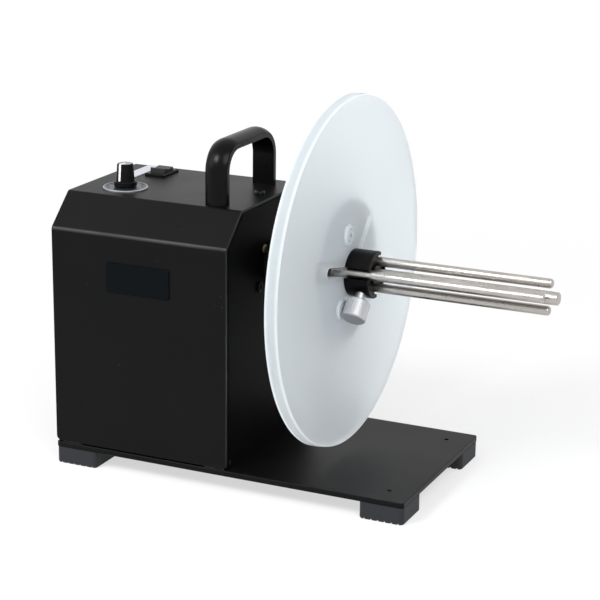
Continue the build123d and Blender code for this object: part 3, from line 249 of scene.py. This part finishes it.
def make_outer_ring():
    """Outer ring of a round piece: 1 within Width of its Radius, 0 further in, Softness between them."""
    tree, given, result = group_tree(
        "outer_ring",
        [
            ("Vector", VECTOR, None),
            ("Centre", VECTOR, (0, 0, 0)),
            ("Across", VECTOR, ACROSS_Z),
            ("Radius", FLOAT, 0.1),
            ("Width", FLOAT, 0.001),
            ("Softness", FLOAT, 0.0005),
        ],
        [("Mask", FLOAT)],
    )
    shifted = vector_maths(tree, "SUBTRACT", given["Vector"], given["Centre"]).outputs["Vector"]
    flat = vector_maths(tree, "MULTIPLY", shifted, given["Across"]).outputs["Vector"]
    reach = vector_maths(tree, "LENGTH", flat).outputs["Value"]
    full = maths(tree, "SUBTRACT", given["Radius"], given["Width"])
    start = maths(tree, "SUBTRACT", full, given["Softness"])
    feed(tree, span(tree, reach, start, full, 0.0, 1.0), result["Mask"])
    return tree


GROUP_MAKERS = {
    "skin_grain": make_skin_grain,
    "tool_marks": make_tool_marks,
    "outer_ring": make_outer_ring,
}


def place_group(tree, name, vector, **values):
    """Shared group in a material, with that material's own values; it is built at its first use."""
    shared = bpy.data.node_groups.get(name) or GROUP_MAKERS[name]()
    placed = node(tree, "ShaderNodeGroup", node_tree=shared, **values)
    feed(tree, vector, placed.inputs["Vector"])
    return placed


def ring_mask(tree, vector, piece, across, width, softness):
    """The outer_ring group fitted to a round CAD node."""
    ring = place_group(
        tree, "outer_ring", vector, in_Centre=tuple(middle(piece)), in_Across=across,
        in_Radius=half_width(piece), in_Width=width, in_Softness=softness,
    )
    return ring.outputs["Mask"]


# ---- Kinds of finish ----
def start_material(name, scale=(1.0, 1.0, 1.0)):
    """Material with a Principled shader, and object coordinates through a Mapping node."""
    material = bpy.data.materials.new(name)
    material.use_nodes = True
    tree = material.node_tree
    coords = node(tree, "ShaderNodeTexCoord")
    mapping = node(tree, "ShaderNodeMapping", vector_type="POINT", in_Scale=scale)
    feed(tree, coords.outputs["Object"], mapping.inputs["Vector"])
    return material, tree, tree.nodes["Principled BSDF"], mapping.outputs["Vector"]


def reopen(material):
    """Tree, shader, object coordinates and present base colour of a finished material."""
    tree = material.node_tree
    shader = tree.nodes["Principled BSDF"]
    colour = shader.inputs["Base Color"].links[0].from_socket
    return tree, shader, tree.nodes["Mapping"].outputs["Vector"], colour


def wire(tree, shader, finish, depth, strength=1.0):
    """Links a finish group's colour, roughness and height to the shader."""
    feed(tree, finish.outputs["Colour"], shader.inputs["Base Color"])
    feed(tree, finish.outputs["Roughness"], shader.inputs["Roughness"])
    bump = node(tree, "ShaderNodeBump", in_Distance=depth, in_Strength=strength)
    feed(tree, finish.outputs["Height"], bump.inputs["Height"])
    feed(tree, bump.outputs["Normal"], shader.inputs["Normal"])


def coated(name, colour, roughness, specular, grain, depth, cloud, specks):
    """Paint, plastic or rubber: the skin_grain group with its own values."""
    material, tree, shader, vector = start_material(name)
    skin = place_group(
        tree, "skin_grain", vector, in_Colour=(*colour, 1), in_Roughness=roughness, in_Grain=grain,
        in_Cloud=cloud, in_Specks=specks,
    )
    wire(tree, shader, skin, depth)
    shader.inputs["Specular IOR Level"].default_value = specular
    return material


def metal(name, colour, roughness, spread, stretch, depth=0.00001):
    """Bare or plated metal: the tool_marks group, stretched so that its lines run round or along."""
    material, tree, shader, vector = start_material(name, stretch)
    marks = place_group(
        tree, "tool_marks", vector, in_Colour=(*colour, 1), in_Roughness=roughness, in_Spread=spread,
    )
    wire(tree, shader, marks, depth)
    shader.inputs["Metallic"].default_value = 1.0
    return material


def give(material, *names):
    """Assigns a material to CAD nodes by name."""
    for name in names:
        target = NODES[name]
        target.data.materials.clear()
        target.data.materials.append(material)


# ---- Sizes and colours a user would change ----
class HousingLook(bpy.types.PropertyGroup):
    """Paint and front edge of the housing"""

    panel_colour: FloatVectorProperty(
        name="Panel colour", description="Paint of the housing and the base plate",
        subtype="COLOR", size=3, default=(0.0023, 0.0024, 0.0024), min=0.0, max=1.0,
    )
    panel_roughness: FloatProperty(
        name="Panel roughness", description="How matt the paint is", default=0.37, min=0.0, max=1.0,
    )
    panel_specular: FloatProperty(
        name="Panel gloss level", description="How strongly the paint reflects",
        default=0.1, min=0.0, max=1.0,
    )
    chamfer_height: FloatProperty(
        name="Chamfer height", description="Height of the sloped front edge of the cover",
        default=0.0195, min=0.0, unit="LENGTH",
    )


class SpindleLook(bpy.types.PropertyGroup):
    """Disc, carrier, shaft and fingers"""

    disc_colour: FloatVectorProperty(
        name="Disc colour", description="Tint of the frosted flange disc",
        subtype="COLOR", size=3, default=(0.865, 0.905, 0.93), min=0.0, max=1.0,
    )
    disc_frost: FloatProperty(
        name="Disc frosting", description="How far the disc blurs what is behind it",
        default=0.66, min=0.0, max=1.0,
    )
    disc_clearness: FloatProperty(
        name="Disc clearness", description="Share of light that passes through the disc",
        default=0.8, min=0.0, max=1.0,
    )
    carrier_colour: FloatVectorProperty(
        name="Carrier colour", description="Plastic of the carrier behind the disc",
        subtype="COLOR", size=3, default=(0.70, 0.72, 0.74), min=0.0, max=1.0,
    )
    channel_half_width: FloatProperty(
        name="Channel half width", description="Half of the width of the guide channels in the carrier",
        default=0.0064, min=0.0, unit="LENGTH",
    )
    steel_colour: FloatVectorProperty(
        name="Steel colour", description="Shaft and fingers",
        subtype="COLOR", size=3, default=(0.45, 0.43, 0.405), min=0.0, max=1.0,
    )


class StudioLook(bpy.types.PropertyGroup):
    """Camera and lights"""

    focal_length: FloatProperty(
        name="Focal length", description="Camera lens in millimetres", default=115.49, min=20.0, max=400.0,
    )
    azimuth: FloatProperty(
        name="Azimuth", description="Viewing direction round the object",
        default=radians(24.56), subtype="ANGLE",
    )
    elevation: FloatProperty(
        name="Elevation", description="Viewing angle above the horizon",
        default=radians(16.43), subtype="ANGLE",
    )
    roll: FloatProperty(
        name="Roll", description="Turn of the camera about its own line of sight",
        default=radians(0.63), subtype="ANGLE",
    )
    place: FloatVectorProperty(
        name="Camera place", description="Position of the camera",
        size=3, default=(0.4694, -1.0571, 0.4533), unit="LENGTH",
    )
    key_power: FloatProperty(
        name="Key light", description="Power of the main soft light", default=15.0, min=0.0, max=500.0,
    )
    fill_power: FloatProperty(
        name="Fill light", description="Power of the second soft light", default=4.0, min=0.0, max=500.0,
    )
    high_power: FloatProperty(
        name="High light", description="Power of the soft light high in front",
        default=20.0, min=0.0, max=500.0,
    )
    surround: FloatProperty(
        name="Surround", description="Even light from all round", default=0.55, min=0.0, max=3.0,
    )


# ---- Studio ----
FLOOR_HALF = 12.0  # half of the floor's side
FLOOR_POINTS = 41  # points of its grid along each side
FLOOR_COLOUR = (0.9, 0.9, 0.9, 1)
FLOOR_ROUGHNESS = 0.9
FLOOR_SPECULAR = 0.1
# The floor's own white light, which is less near the machine so that its shadow shows
FLOOR_GLOW_REACH = (0.2, 0.7)  # distances from the origin where it starts to rise and is full
FLOOR_GLOW_LEAST = 0.62

LIGHT_TARGET = (0.0, 0.0, 0.12)
# Name, place, width, height, and the setting that holds its power
SOFTBOXES = (
    ("key_softbox", (0.95, -0.85, 1.25), 0.9, 0.9, "key_power"),
    ("fill_softbox", (-1.1, -0.7, 0.75), 0.7, 0.9, "fill_power"),
    ("high_softbox", (-0.62, -1.12, 1.2), 0.62, 0.46, "high_power"),
)

SENSOR_WIDTH = 36.0  # millimetres
CLIP_NEAR, CLIP_FAR = 0.05, 60.0


def floor_points():
    """Grid of the flat floor: p(u, v) = (s u, s v, 0), with u and v from -1 to 1 and s = FLOOR_HALF."""
    u = np.linspace(-1, 1, FLOOR_POINTS)
    gx, gy = np.meshgrid(u, u, indexing="ij")
    return np.stack([gx * FLOOR_HALF, gy * FLOOR_HALF, np.zeros_like(gx)], axis=-1)


def surface_piece(name, points):
    """Mesh of a grid of points p(u, v), where each cell of the grid is one four-sided face."""
    nu, nv = points.shape[:2]
    iu, iv = np.meshgrid(np.arange(nu - 1), np.arange(nv - 1), indexing="ij")
    corner = (iu * nv + iv).ravel()
    quads = np.stack([corner, corner + nv, corner + nv + 1, corner + 1], axis=1)
    mesh = bpy.data.meshes.new(name)
    mesh.from_pydata(points.reshape(-1, 3).tolist(), [], quads.tolist())
    mesh.validate()
    mesh.polygons.foreach_set("use_smooth", np.ones(len(mesh.polygons), bool))
    mesh.update()
    piece = bpy.data.objects.new(name, mesh)
    bpy.context.scene.collection.objects.link(piece)
    return piece


def ray_share(tree):
    """1 for rays straight from the camera, off a mirror-like surface or through clear material, else 0."""
    path = node(tree, "ShaderNodeLightPath")
    share = maths(tree, "MAXIMUM", path.outputs["Is Camera Ray"], path.outputs["Is Glossy Ray"])
    return maths(tree, "MAXIMUM", share, path.outputs["Is Transmission Ray"])


def floor_paper():
    """White paper that takes the shadow and glows white to the camera."""
    material = bpy.data.materials.new("floor_paper")
    material.use_nodes = True
    tree = material.node_tree
    paper = tree.nodes["Principled BSDF"]
    paper.inputs["Base Color"].default_value = FLOOR_COLOUR
    paper.inputs["Roughness"].default_value = FLOOR_ROUGHNESS
    paper.inputs["Specular IOR Level"].default_value = FLOOR_SPECULAR
    glow = node(tree, "ShaderNodeEmission", in_Color=WHITE)
    coords = node(tree, "ShaderNodeTexCoord")
    reach = vector_maths(tree, "LENGTH", coords.outputs["Object"]).outputs["Value"]
    far = span(tree, reach, *FLOOR_GLOW_REACH, FLOOR_GLOW_LEAST, 1.0)
    both = node(tree, "ShaderNodeMixShader")
    surface = tree.nodes["Material Output"].inputs["Surface"]
    feed(tree, maths(tree, "MULTIPLY", far, ray_share(tree)), both.inputs[0])
    feed(tree, paper.outputs[0], both.inputs[1])
    feed(tree, glow.outputs[0], both.inputs[2])
    feed(tree, both.outputs[0], surface)
    return material


def make_surround(scene, strength):
    """World that lights evenly at the given strength and is seen as plain white."""
    world = bpy.data.worlds.new("studio_surround")
    scene.world = world
    world.use_nodes = True
    tree = world.node_tree
    background = tree.nodes["Background"]
    background.inputs["Color"].default_value = WHITE
    level = span(tree, ray_share(tree), 0.0, 1.0, strength, 1.0)
    feed(tree, level, background.inputs["Strength"])


def soft_light(name, place, width, height, power):
    """Rectangular area lamp aimed at the middle of the machine."""
    data = bpy.data.lights.new(name, "AREA")
    data.shape = "RECTANGLE"
    data.size, data.size_y = width, height
    data.energy = power
    lamp = bpy.data.objects.new(name, data)
    lamp.location = place
    lamp.rotation_mode = "QUATERNION"
    lamp.rotation_quaternion = (Vector(LIGHT_TARGET) - Vector(place)).to_track_quat("-Z", "Y")
    bpy.context.scene.collection.objects.link(lamp)


def camera_matrix(look):
    """Place and turn of the camera: its back axis by azimuth and elevation, then rolled about it."""
    azimuth, elevation, roll = look.azimuth, look.elevation, look.roll
    back = Vector((sin(azimuth) * cos(elevation), -cos(azimuth) * cos(elevation), sin(elevation)))
    level_right = Vector((cos(azimuth), sin(azimuth), 0.0))
    level_up = back.cross(level_right)
    right = cos(roll) * level_right + sin(roll) * level_up
    up = back.cross(right)
    turn = Matrix((right, up, back)).transposed().to_4x4()
    return Matrix.Translation(Vector(look.place)) @ turn


class REWINDER_OT_studio(bpy.types.Operator):
    """Make the pale floor, the surround, the soft lights and the camera"""

    bl_idname = "rewinder.studio"
    bl_label = "Studio"

    def execute(self, context):
        look = context.scene.rewinder_studio
        scene = context.scene
        scene.view_settings.view_transform = "Standard"
        floor = surface_piece("studio_floor", floor_points())
        floor.data.materials.append(floor_paper())
        make_surround(scene, look.surround)
        for name, place, width, height, power in SOFTBOXES:
            soft_light(name, place, width, height, getattr(look, power))

        camera_data = bpy.data.cameras.new("camera")
        camera_data.sensor_width = SENSOR_WIDTH
        camera_data.lens = look.focal_length
        camera_data.clip_start, camera_data.clip_end = CLIP_NEAR, CLIP_FAR
        camera = bpy.data.objects.new("camera", camera_data)
        scene.collection.objects.link(camera)
        camera.matrix_world = camera_matrix(look)
        scene.camera = camera
        return {"FINISHED"}


# ---- Housing, base and feet ----
# Painted highlight: a pale line on the cover along the bend of the chamfer and on its right cut edge, in
# place of the light these edges catch
PAINTED_HIGHLIGHT_COLOUR = (0.045, 0.046, 0.046, 1)
BEND_HIGHLIGHT = (0.0004, 0.0016)  # distances from the bend where the painted highlight starts to fade and ends
EDGE_HIGHLIGHT = (0.0005, 0.0002)  # distances inside the cut edge where the painted highlight begins and is full
EDGE_HIGHLIGHT_SHARE = 0.6
HIGHLIGHT_PATCH_SCALE = 22.0
HIGHLIGHT_PATCHES = (0.3, 0.7)  # noise values between which the painted highlight goes from least to full
HIGHLIGHT_LEAST = 0.45


def painted_highlight_lines(tree, vector, y, z, x_end):
    """Mask of a painted highlight, a thin pale line: along the bend at (y, z) and on the cut edge at
    x_end, in patches.
    """
    place = split(tree, vector)
    dy = maths(tree, "SUBTRACT", place["Y"], y)
    dz = maths(tree, "SUBTRACT", place["Z"], z)
    squares = maths(tree, "ADD", maths(tree, "MULTIPLY", dy, dy), maths(tree, "MULTIPLY", dz, dz))
    bend = span(tree, maths(tree, "SQRT", squares), *BEND_HIGHLIGHT, 1.0, 0.0)
    edge_start, edge_full = (x_end - inside for inside in EDGE_HIGHLIGHT)
    edge = span(tree, place["X"], edge_start, edge_full, 0.0, EDGE_HIGHLIGHT_SHARE)
    patches = noise(tree, vector, HIGHLIGHT_PATCH_SCALE, detail=3.0)
    level = span(tree, patches, *HIGHLIGHT_PATCHES, HIGHLIGHT_LEAST, 1.0)
    return maths(tree, "MULTIPLY", maths(tree, "MAXIMUM", bend, edge), level, clamp=True)


def panel_paint(name, look):
    """Matt black paint of the cover, the left side plate and the base plate."""
    return coated(
        name, colour=tuple(look.panel_colour), roughness=look.panel_roughness,
        specular=look.panel_specular, grain=1100.0, depth=0.00003, cloud=0.16, specks=0.25,
    )


def panel_paint_with_highlights(look):
    """The panel paint of the cover, with a painted highlight, a pale line, along the bend of the chamfer
    and on its right edge.
    """
    material = panel_paint("worn_powder_coat", look)
    tree, shader, vector, paint = reopen(material)
    low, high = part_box("cover")
    mask = painted_highlight_lines(tree, vector, low.y, high.z - look.chamfer_height, high.x)
    # Painted highlight along the chamfer's bend and the cover's right edge
    feed(tree, blend(tree, mask, paint, PAINTED_HIGHLIGHT_COLOUR), shader.inputs["Base Color"])
    return material


class REWINDER_OT_housing(bpy.types.Operator):
    """Paint the cover, side plates and base plate, and finish the feet, badge, strip, plug and inlet"""

    bl_idname = "rewinder.housing"
    bl_label = "Housing and base"

    def execute(self, context):
        look = context.scene.rewinder_housing
        give(panel_paint("black_powder_coat", look), "side_plate_left", "base_plate")
        give(panel_paint_with_highlights(look), "cover")
        # Painted shade: the right side plate gets a darker, less glossy copy of the panel paint, so that
        # it shows as shaded
        side = coated(
            "black_side_paint", colour=(0.0016, 0.0017, 0.0018), roughness=0.5, specular=0.03,
            grain=1100.0, depth=0.00003, cloud=0.1, specks=0.1,
        )
        give(side, "side_plate_right")
        rubber = coated(
            "foot_rubber", colour=(0.012, 0.014, 0.017), roughness=0.6, specular=0.3,
            grain=1500.0, depth=0.00005, cloud=0.12, specks=0.35,
        )
        give(rubber, "foot_front_left", "foot_back_left", "foot_front_right", "foot_back_right")
        gloss = coated(
            "badge_gloss", colour=(0.0012, 0.0026, 0.0036), roughness=0.16, specular=0.06,
            grain=300.0, depth=0.000004, cloud=0.05, specks=0.1,
        )
        give(gloss, "badge_plate")
        strip = coated(
            "marking_strip", colour=(0.50, 0.51, 0.56), roughness=0.4, specular=0.3,
            grain=700.0, depth=0.000015, cloud=0.12, specks=0.0,
        )
        give(strip, "label_strip")
        black = coated(
            "black_plastic", colour=(0.002, 0.002, 0.0022), roughness=0.38, specular=0.05,
            grain=1300.0, depth=0.00004, cloud=0.08, specks=0.2,
        )
        give(black, "side_plug", "power_inlet")
        return {"FINISHED"}


# ---- Fasteners and inside pieces ----
class REWINDER_OT_fasteners(bpy.types.Operator):
    """Finish the screws, rivets, angles, nuts, bearing housing, collar and the drive's plated cases"""

    bl_idname = "rewinder.fasteners"
    bl_label = "Fasteners"

    def execute(self, context):
        zinc = metal(
            "zinc_plate", colour=(0.60, 0.62, 0.64), roughness=0.34, spread=0.16,
            stretch=(220.0, 220.0, 220.0),
        )
        give(
            zinc, "foot_screws", "base_angles", "base_angle_screws", "handle_screws", "inlet_nut",
            "potentiometer", "potentiometer_nut", "motor_bracket_screws", "gearbox_screws",
            "board_screws", "collar_screw", "gearbox", "motor",
        )
        yellow = metal(
            "yellow_zinc", colour=(0.17, 0.14, 0.08), roughness=0.36, spread=0.14,
            stretch=(260.0, 260.0, 260.0),
        )
        give(yellow, "bearing_housing_screws", "board_standoffs")
        oxide = coated(
            "black_oxide", colour=(0.006, 0.006, 0.0065), roughness=0.3, specular=0.15,
            grain=1600.0, depth=0.00002, cloud=0.1, specks=0.1,
        )
        give(oxide, "side_rivets", "bearing_housing", "cover_screws", "coupling_screws", "shaft_collar")
        return {"FINISHED"}


class REWINDER_OT_inside(bpy.types.Operator):
    """Finish the bare metal and the control board inside the housing"""

    bl_idname = "rewinder.inside"
    bl_label = "Inside pieces"

    def execute(self, context):
        cast = metal(
            "machined_aluminium", colour=(0.70, 0.71, 0.72), roughness=0.36, spread=0.12,
            stretch=(900.0, 120.0, 120.0),
        )
        give(cast, "motor_bracket", "coupling", "board_parts", "potentiometer_shaft")
        ground = metal(
            "ground_steel", colour=(0.64, 0.63, 0.61), roughness=0.2, spread=0.1,
            stretch=(2500.0, 150.0, 150.0),
        )
        give(ground, "bearing_outer_rings", "bearing_inner_rings", "bearing_balls", "motor_shaft")
        board = coated(
            "solder_mask", colour=(0.012, 0.10, 0.045), roughness=0.3, specular=0.5,
            grain=500.0, depth=0.00002, cloud=0.2, specks=0.1,
        )
        give(board, "control_board")
        return {"FINISHED"}


# ---- Handle and controls ----
class REWINDER_OT_handle(bpy.types.Operator):
    """Finish the carrying handle"""

    bl_idname = "rewinder.handle"
    bl_label = "Handle"

    def execute(self, context):
        black = coated(
            "handle_black", colour=(0.0018, 0.0018, 0.0022), roughness=0.25, specular=0.1,
            grain=1500.0, depth=0.000012, cloud=0.08, specks=0.15,
        )
        give(black, "handle")
        return {"FINISHED"}


DIAL_COLOUR = (0.11, 0.118, 0.13, 1)
DIAL_RING_COLOUR = (0.42, 0.44, 0.47, 1)


def dial_aluminium():
    """Grey brushed dial plate with a thin pale ring round its edge."""
    material, tree, shader, vector = start_material("dial_aluminium")
    marks = place_group(
        tree, "tool_marks", vector, in_Roughness=0.38, in_Spread=0.1, in_Line_Scale=600.0,
    )
    ring = ring_mask(tree, vector, "dial_plate", ACROSS_Z, width=0.0006, softness=0.0004)
    feed(tree, blend(tree, ring, DIAL_COLOUR, DIAL_RING_COLOUR), marks.inputs["Colour"])
    wire(tree, shader, marks, depth=0.000004)
    shader.inputs["Metallic"].default_value = 1.0
    return material


class REWINDER_OT_controls(bpy.types.Operator):
    """Finish the speed knob, its dial and the rocker switch"""

    bl_idname = "rewinder.controls"
    bl_label = "Controls"

    def execute(self, context):
        black = coated(
            "knob_black", colour=(0.0036, 0.0036, 0.0042), roughness=0.3, specular=0.1,
            grain=1700.0, depth=0.00003, cloud=0.08, specks=0.15,
        )
        give(black, "knob_body", "switch_body")
        paddle = coated(
            "rocker_black", colour=(0.012, 0.012, 0.013), roughness=0.36, specular=0.3,
            grain=1500.0, depth=0.00002, cloud=0.08, specks=0.1,
        )
        give(paddle, "rocker")
        grey = coated(
            "cap_grey", colour=(0.22, 0.23, 0.25), roughness=0.34, specular=0.5,
            grain=900.0, depth=0.00001, cloud=0.1, specks=0.05,
        )
        give(grey, "knob_cap")
        white = coated(
            "pointer_white", colour=(0.86, 0.86, 0.86), roughness=0.3, specular=0.5,
            grain=900.0, depth=0.00001, cloud=0.05, specks=0.0,
        )
        give(white, "knob_pointer")
        give(dial_aluminium(), "dial_plate")
        return {"FINISHED"}


# ---- Flange: disc, carrier and what turns with them ----
RIM_COLOUR = (0.63, 0.69, 0.72, 1)
RIM_GLOW = (0.26, 0.24, 0.23, 1)  # painted highlight: faint light of its own at the two corners of the disc's edge
RIM_GLOW_START, RIM_GLOW_FULL = 0.2, 0.42  # shares of the thickness away from its middle
RIM_GLOW_LEAST = 0.15
ACRYLIC_IOR = 1.45

CHANNEL_COLOUR = (0.008, 0.008, 0.009, 1)
CHANNEL_SOFTNESS = 0.0003
CHANNEL_START = 0.001  # distance from the spindle's middle over which a channel begins
CARRIER_SIDE_COLOUR = (0.10, 0.105, 0.11, 1)
CARRIER_FACE = (0.0006, 0.0003)  # depths behind the front face where side grey ends and pale begins
CARRIER_GLOW = 0.2  # share of its colour that the carrier gives off, for little light reaches it


def frosted_acrylic(look):
    """Frosted clear plastic of the disc, with a pale edge and a painted highlight, a faint glow, at its
    two corners.
    """
    material, tree, shader, vector = start_material("frosted_acrylic")
    skin = place_group(
        tree, "skin_grain", vector, in_Colour=(*look.disc_colour, 1), in_Roughness=look.disc_frost,
        in_Grain=700.0, in_Cloud=0.02, in_Specks=0.0,
    )
    wire(tree, shader, skin, depth=0.00001, strength=0.6)
    rim = ring_mask(tree, vector, "flange_disc", ACROSS_X, width=0.0008, softness=0.0003)
    feed(tree, blend(tree, rim, skin.outputs["Colour"], RIM_COLOUR), shader.inputs["Base Color"])
    low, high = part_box("flange_disc")
    thickness = high.x - low.x
    depth = maths(tree, "SUBTRACT", split(tree, vector)["X"], (low.x + high.x) / 2)
    corner = span(
        tree, maths(tree, "ABSOLUTE", depth), RIM_GLOW_START * thickness, RIM_GLOW_FULL * thickness,
        RIM_GLOW_LEAST, 1.0,
    )
    # Painted highlight: the two corners of the disc's edge glow faintly
    glow = blend(tree, maths(tree, "MULTIPLY", rim, corner), BLACK, RIM_GLOW)
    feed(tree, glow, shader.inputs["Emission Color"])
    shader.inputs["Emission Strength"].default_value = 1.0
    shader.inputs["Transmission Weight"].default_value = look.disc_clearness
    shader.inputs["IOR"].default_value = ACRYLIC_IOR
    return material


def channel_mask(tree, vector, half):
    """1 in the three guide channels, which run outwards from the spindle past each finger."""
    shifted = vector_maths(tree, "SUBTRACT", vector, tuple(middle("flange_disc"))).outputs["Vector"]
    channels = None
    for finger in ("finger_1", "finger_2", "finger_3"):
        outwards = middle(finger) - middle("spindle_shaft")
        outwards.x = 0.0
        outwards.normalize()
        sideways = (0.0, -outwards.z, outwards.y)
        along = vector_maths(tree, "DOT_PRODUCT", shifted, tuple(outwards)).outputs["Value"]
        across = vector_maths(tree, "DOT_PRODUCT", shifted, sideways).outputs["Value"]
        beside = maths(tree, "ABSOLUTE", across)
        near = span(tree, beside, half, half + CHANNEL_SOFTNESS, 1.0, 0.0)
        ahead = span(tree, along, 0.0, CHANNEL_START, 0.0, 1.0)
        channel = maths(tree, "MULTIPLY", near, ahead)
        channels = channel if channels is None else maths(tree, "MAXIMUM", channels, channel)
    return channels


def carrier_grey(look):
    """Plastic of the carrier: pale front face against the disc, grey sides, dark guide channels, and
    painted light: it glows with a share of its own colour.
    """
    material = coated(
        "carrier_grey", colour=tuple(look.carrier_colour), roughness=0.5, specular=0.3,
        grain=1200.0, depth=0.00004, cloud=0.1, specks=0.1,
    )
    tree, shader, vector, plastic = reopen(material)
    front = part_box("carrier")[1].x
    side_end, pale_start = (front - behind for behind in CARRIER_FACE)
    side = span(tree, split(tree, vector)["X"], side_end, pale_start, 1.0, 0.0)
    body = blend(tree, side, plastic, CARRIER_SIDE_COLOUR)
    colour = blend(tree, channel_mask(tree, vector, look.channel_half_width), body, CHANNEL_COLOUR)
    feed(tree, colour, shader.inputs["Base Color"])
    # Painted light: the carrier glows with a share of its colour, for little lamp light reaches it
    feed(tree, scaled(tree, colour, CARRIER_GLOW), shader.inputs["Emission Color"])
    shader.inputs["Emission Strength"].default_value = 1.0
    return material


class REWINDER_OT_flange(bpy.types.Operator):
    """Finish the frosted disc, its carrier, the scroll plate, the clamp nut, and the disc's screws"""

    bl_idname = "rewinder.flange"
    bl_label = "Flange disc"

    def execute(self, context):
        look = context.scene.rewinder_spindle
        give(frosted_acrylic(look), "flange_disc")
        give(carrier_grey(look), "carrier")
        black = coated(
            "scroll_black", colour=(0.006, 0.006, 0.0065), roughness=0.42, specular=0.3,
            grain=1200.0, depth=0.00004, cloud=0.1, specks=0.2,
        )
        give(black, "scroll_plate")
        nut = metal(
            "nut_aluminium", colour=(0.66, 0.67, 0.68), roughness=0.34, spread=0.12,
            stretch=(1200.0, 200.0, 200.0),
        )
        give(nut, "clamp_nut")
        cup = coated(
            "washer_white", colour=(0.50, 0.55, 0.58), roughness=0.42, specular=0.4,
            grain=700.0, depth=0.00001, cloud=0.08, specks=0.0,
        )
        give(cup, "cup_washers")
        satin = coated(
            "screw_white", colour=(0.42, 0.46, 0.49), roughness=0.45, specular=0.4,
            grain=700.0, depth=0.00001, cloud=0.08, specks=0.0,
        )
        give(satin, "flange_screws")
        return {"FINISHED"}


# ---- Spindle ----
class REWINDER_OT_spindle(bpy.types.Operator):
    """Finish the hub, the shaft, the three fingers and the thumb screw"""

    bl_idname = "rewinder.spindle"
    bl_label = "Spindle and fingers"

    def execute(self, context):
        look = context.scene.rewinder_spindle
        anodised = coated(
            "hub_black", colour=(0.003, 0.0026, 0.003), roughness=0.3, specular=0.08,
            grain=1500.0, depth=0.00002, cloud=0.08, specks=0.1,
        )
        give(anodised, "hub")
        steel = metal(
            "finger_steel", colour=tuple(look.steel_colour), roughness=0.33, spread=0.34,
            stretch=(300.0, 900.0, 900.0), depth=0.000001,
        )
        give(steel, "spindle_shaft", "finger_1", "finger_2", "finger_3")
        bright = metal(
            "thumb_aluminium", colour=(0.44, 0.45, 0.47), roughness=0.42, spread=0.08,
            stretch=(700.0, 700.0, 700.0),
        )
        give(bright, "thumb_screw")
        return {"FINISHED"}


# ---- Add-on ----
class REWINDER_PT_panel(bpy.types.Panel):
    """Lists the finishing steps and the values they use"""

    bl_label = "Label Rewinder"
    bl_idname = "REWINDER_PT_panel"
    bl_space_type = "VIEW_3D"
    bl_region_type = "UI"
    bl_category = "Rewinder"

    def draw(self, context):
        layout = self.layout
        scene = context.scene
        for settings in (scene.rewinder_housing, scene.rewinder_spindle, scene.rewinder_studio):
            box = layout.box()
            for name in settings.__annotations__:
                box.prop(settings, name)
        for operator in OPERATORS:
            layout.operator(operator.bl_idname)


OPERATORS = (
    REWINDER_OT_studio,
    REWINDER_OT_housing,
    REWINDER_OT_fasteners,
    REWINDER_OT_inside,
    REWINDER_OT_handle,
    REWINDER_OT_controls,
    REWINDER_OT_flange,
    REWINDER_OT_spindle,
)
CLASSES = (HousingLook, SpindleLook, StudioLook, *OPERATORS, REWINDER_PT_panel)


def register():
    """Registers the classes and gives the scene its settings."""
    for cls in CLASSES:
        bpy.utils.register_class(cls)
    bpy.types.Scene.rewinder_housing = PointerProperty(type=HousingLook)
    bpy.types.Scene.rewinder_spindle = PointerProperty(type=SpindleLook)
    bpy.types.Scene.rewinder_studio = PointerProperty(type=StudioLook)


def unregister():
    """Takes back what register() did, in reverse."""
    del bpy.types.Scene.rewinder_studio
    del bpy.types.Scene.rewinder_spindle
    del bpy.types.Scene.rewinder_housing
    for cls in reversed(CLASSES):
        bpy.utils.unregister_class(cls)


def main():
    """Registers the add-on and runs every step."""
    register()
    bpy.ops.rewinder.studio()
    bpy.ops.rewinder.housing()
    bpy.ops.rewinder.fasteners()
    bpy.ops.rewinder.inside()
    bpy.ops.rewinder.handle()
    bpy.ops.rewinder.controls()
    bpy.ops.rewinder.flange()
    bpy.ops.rewinder.spindle()


if __name__ == "__main__":
    main()
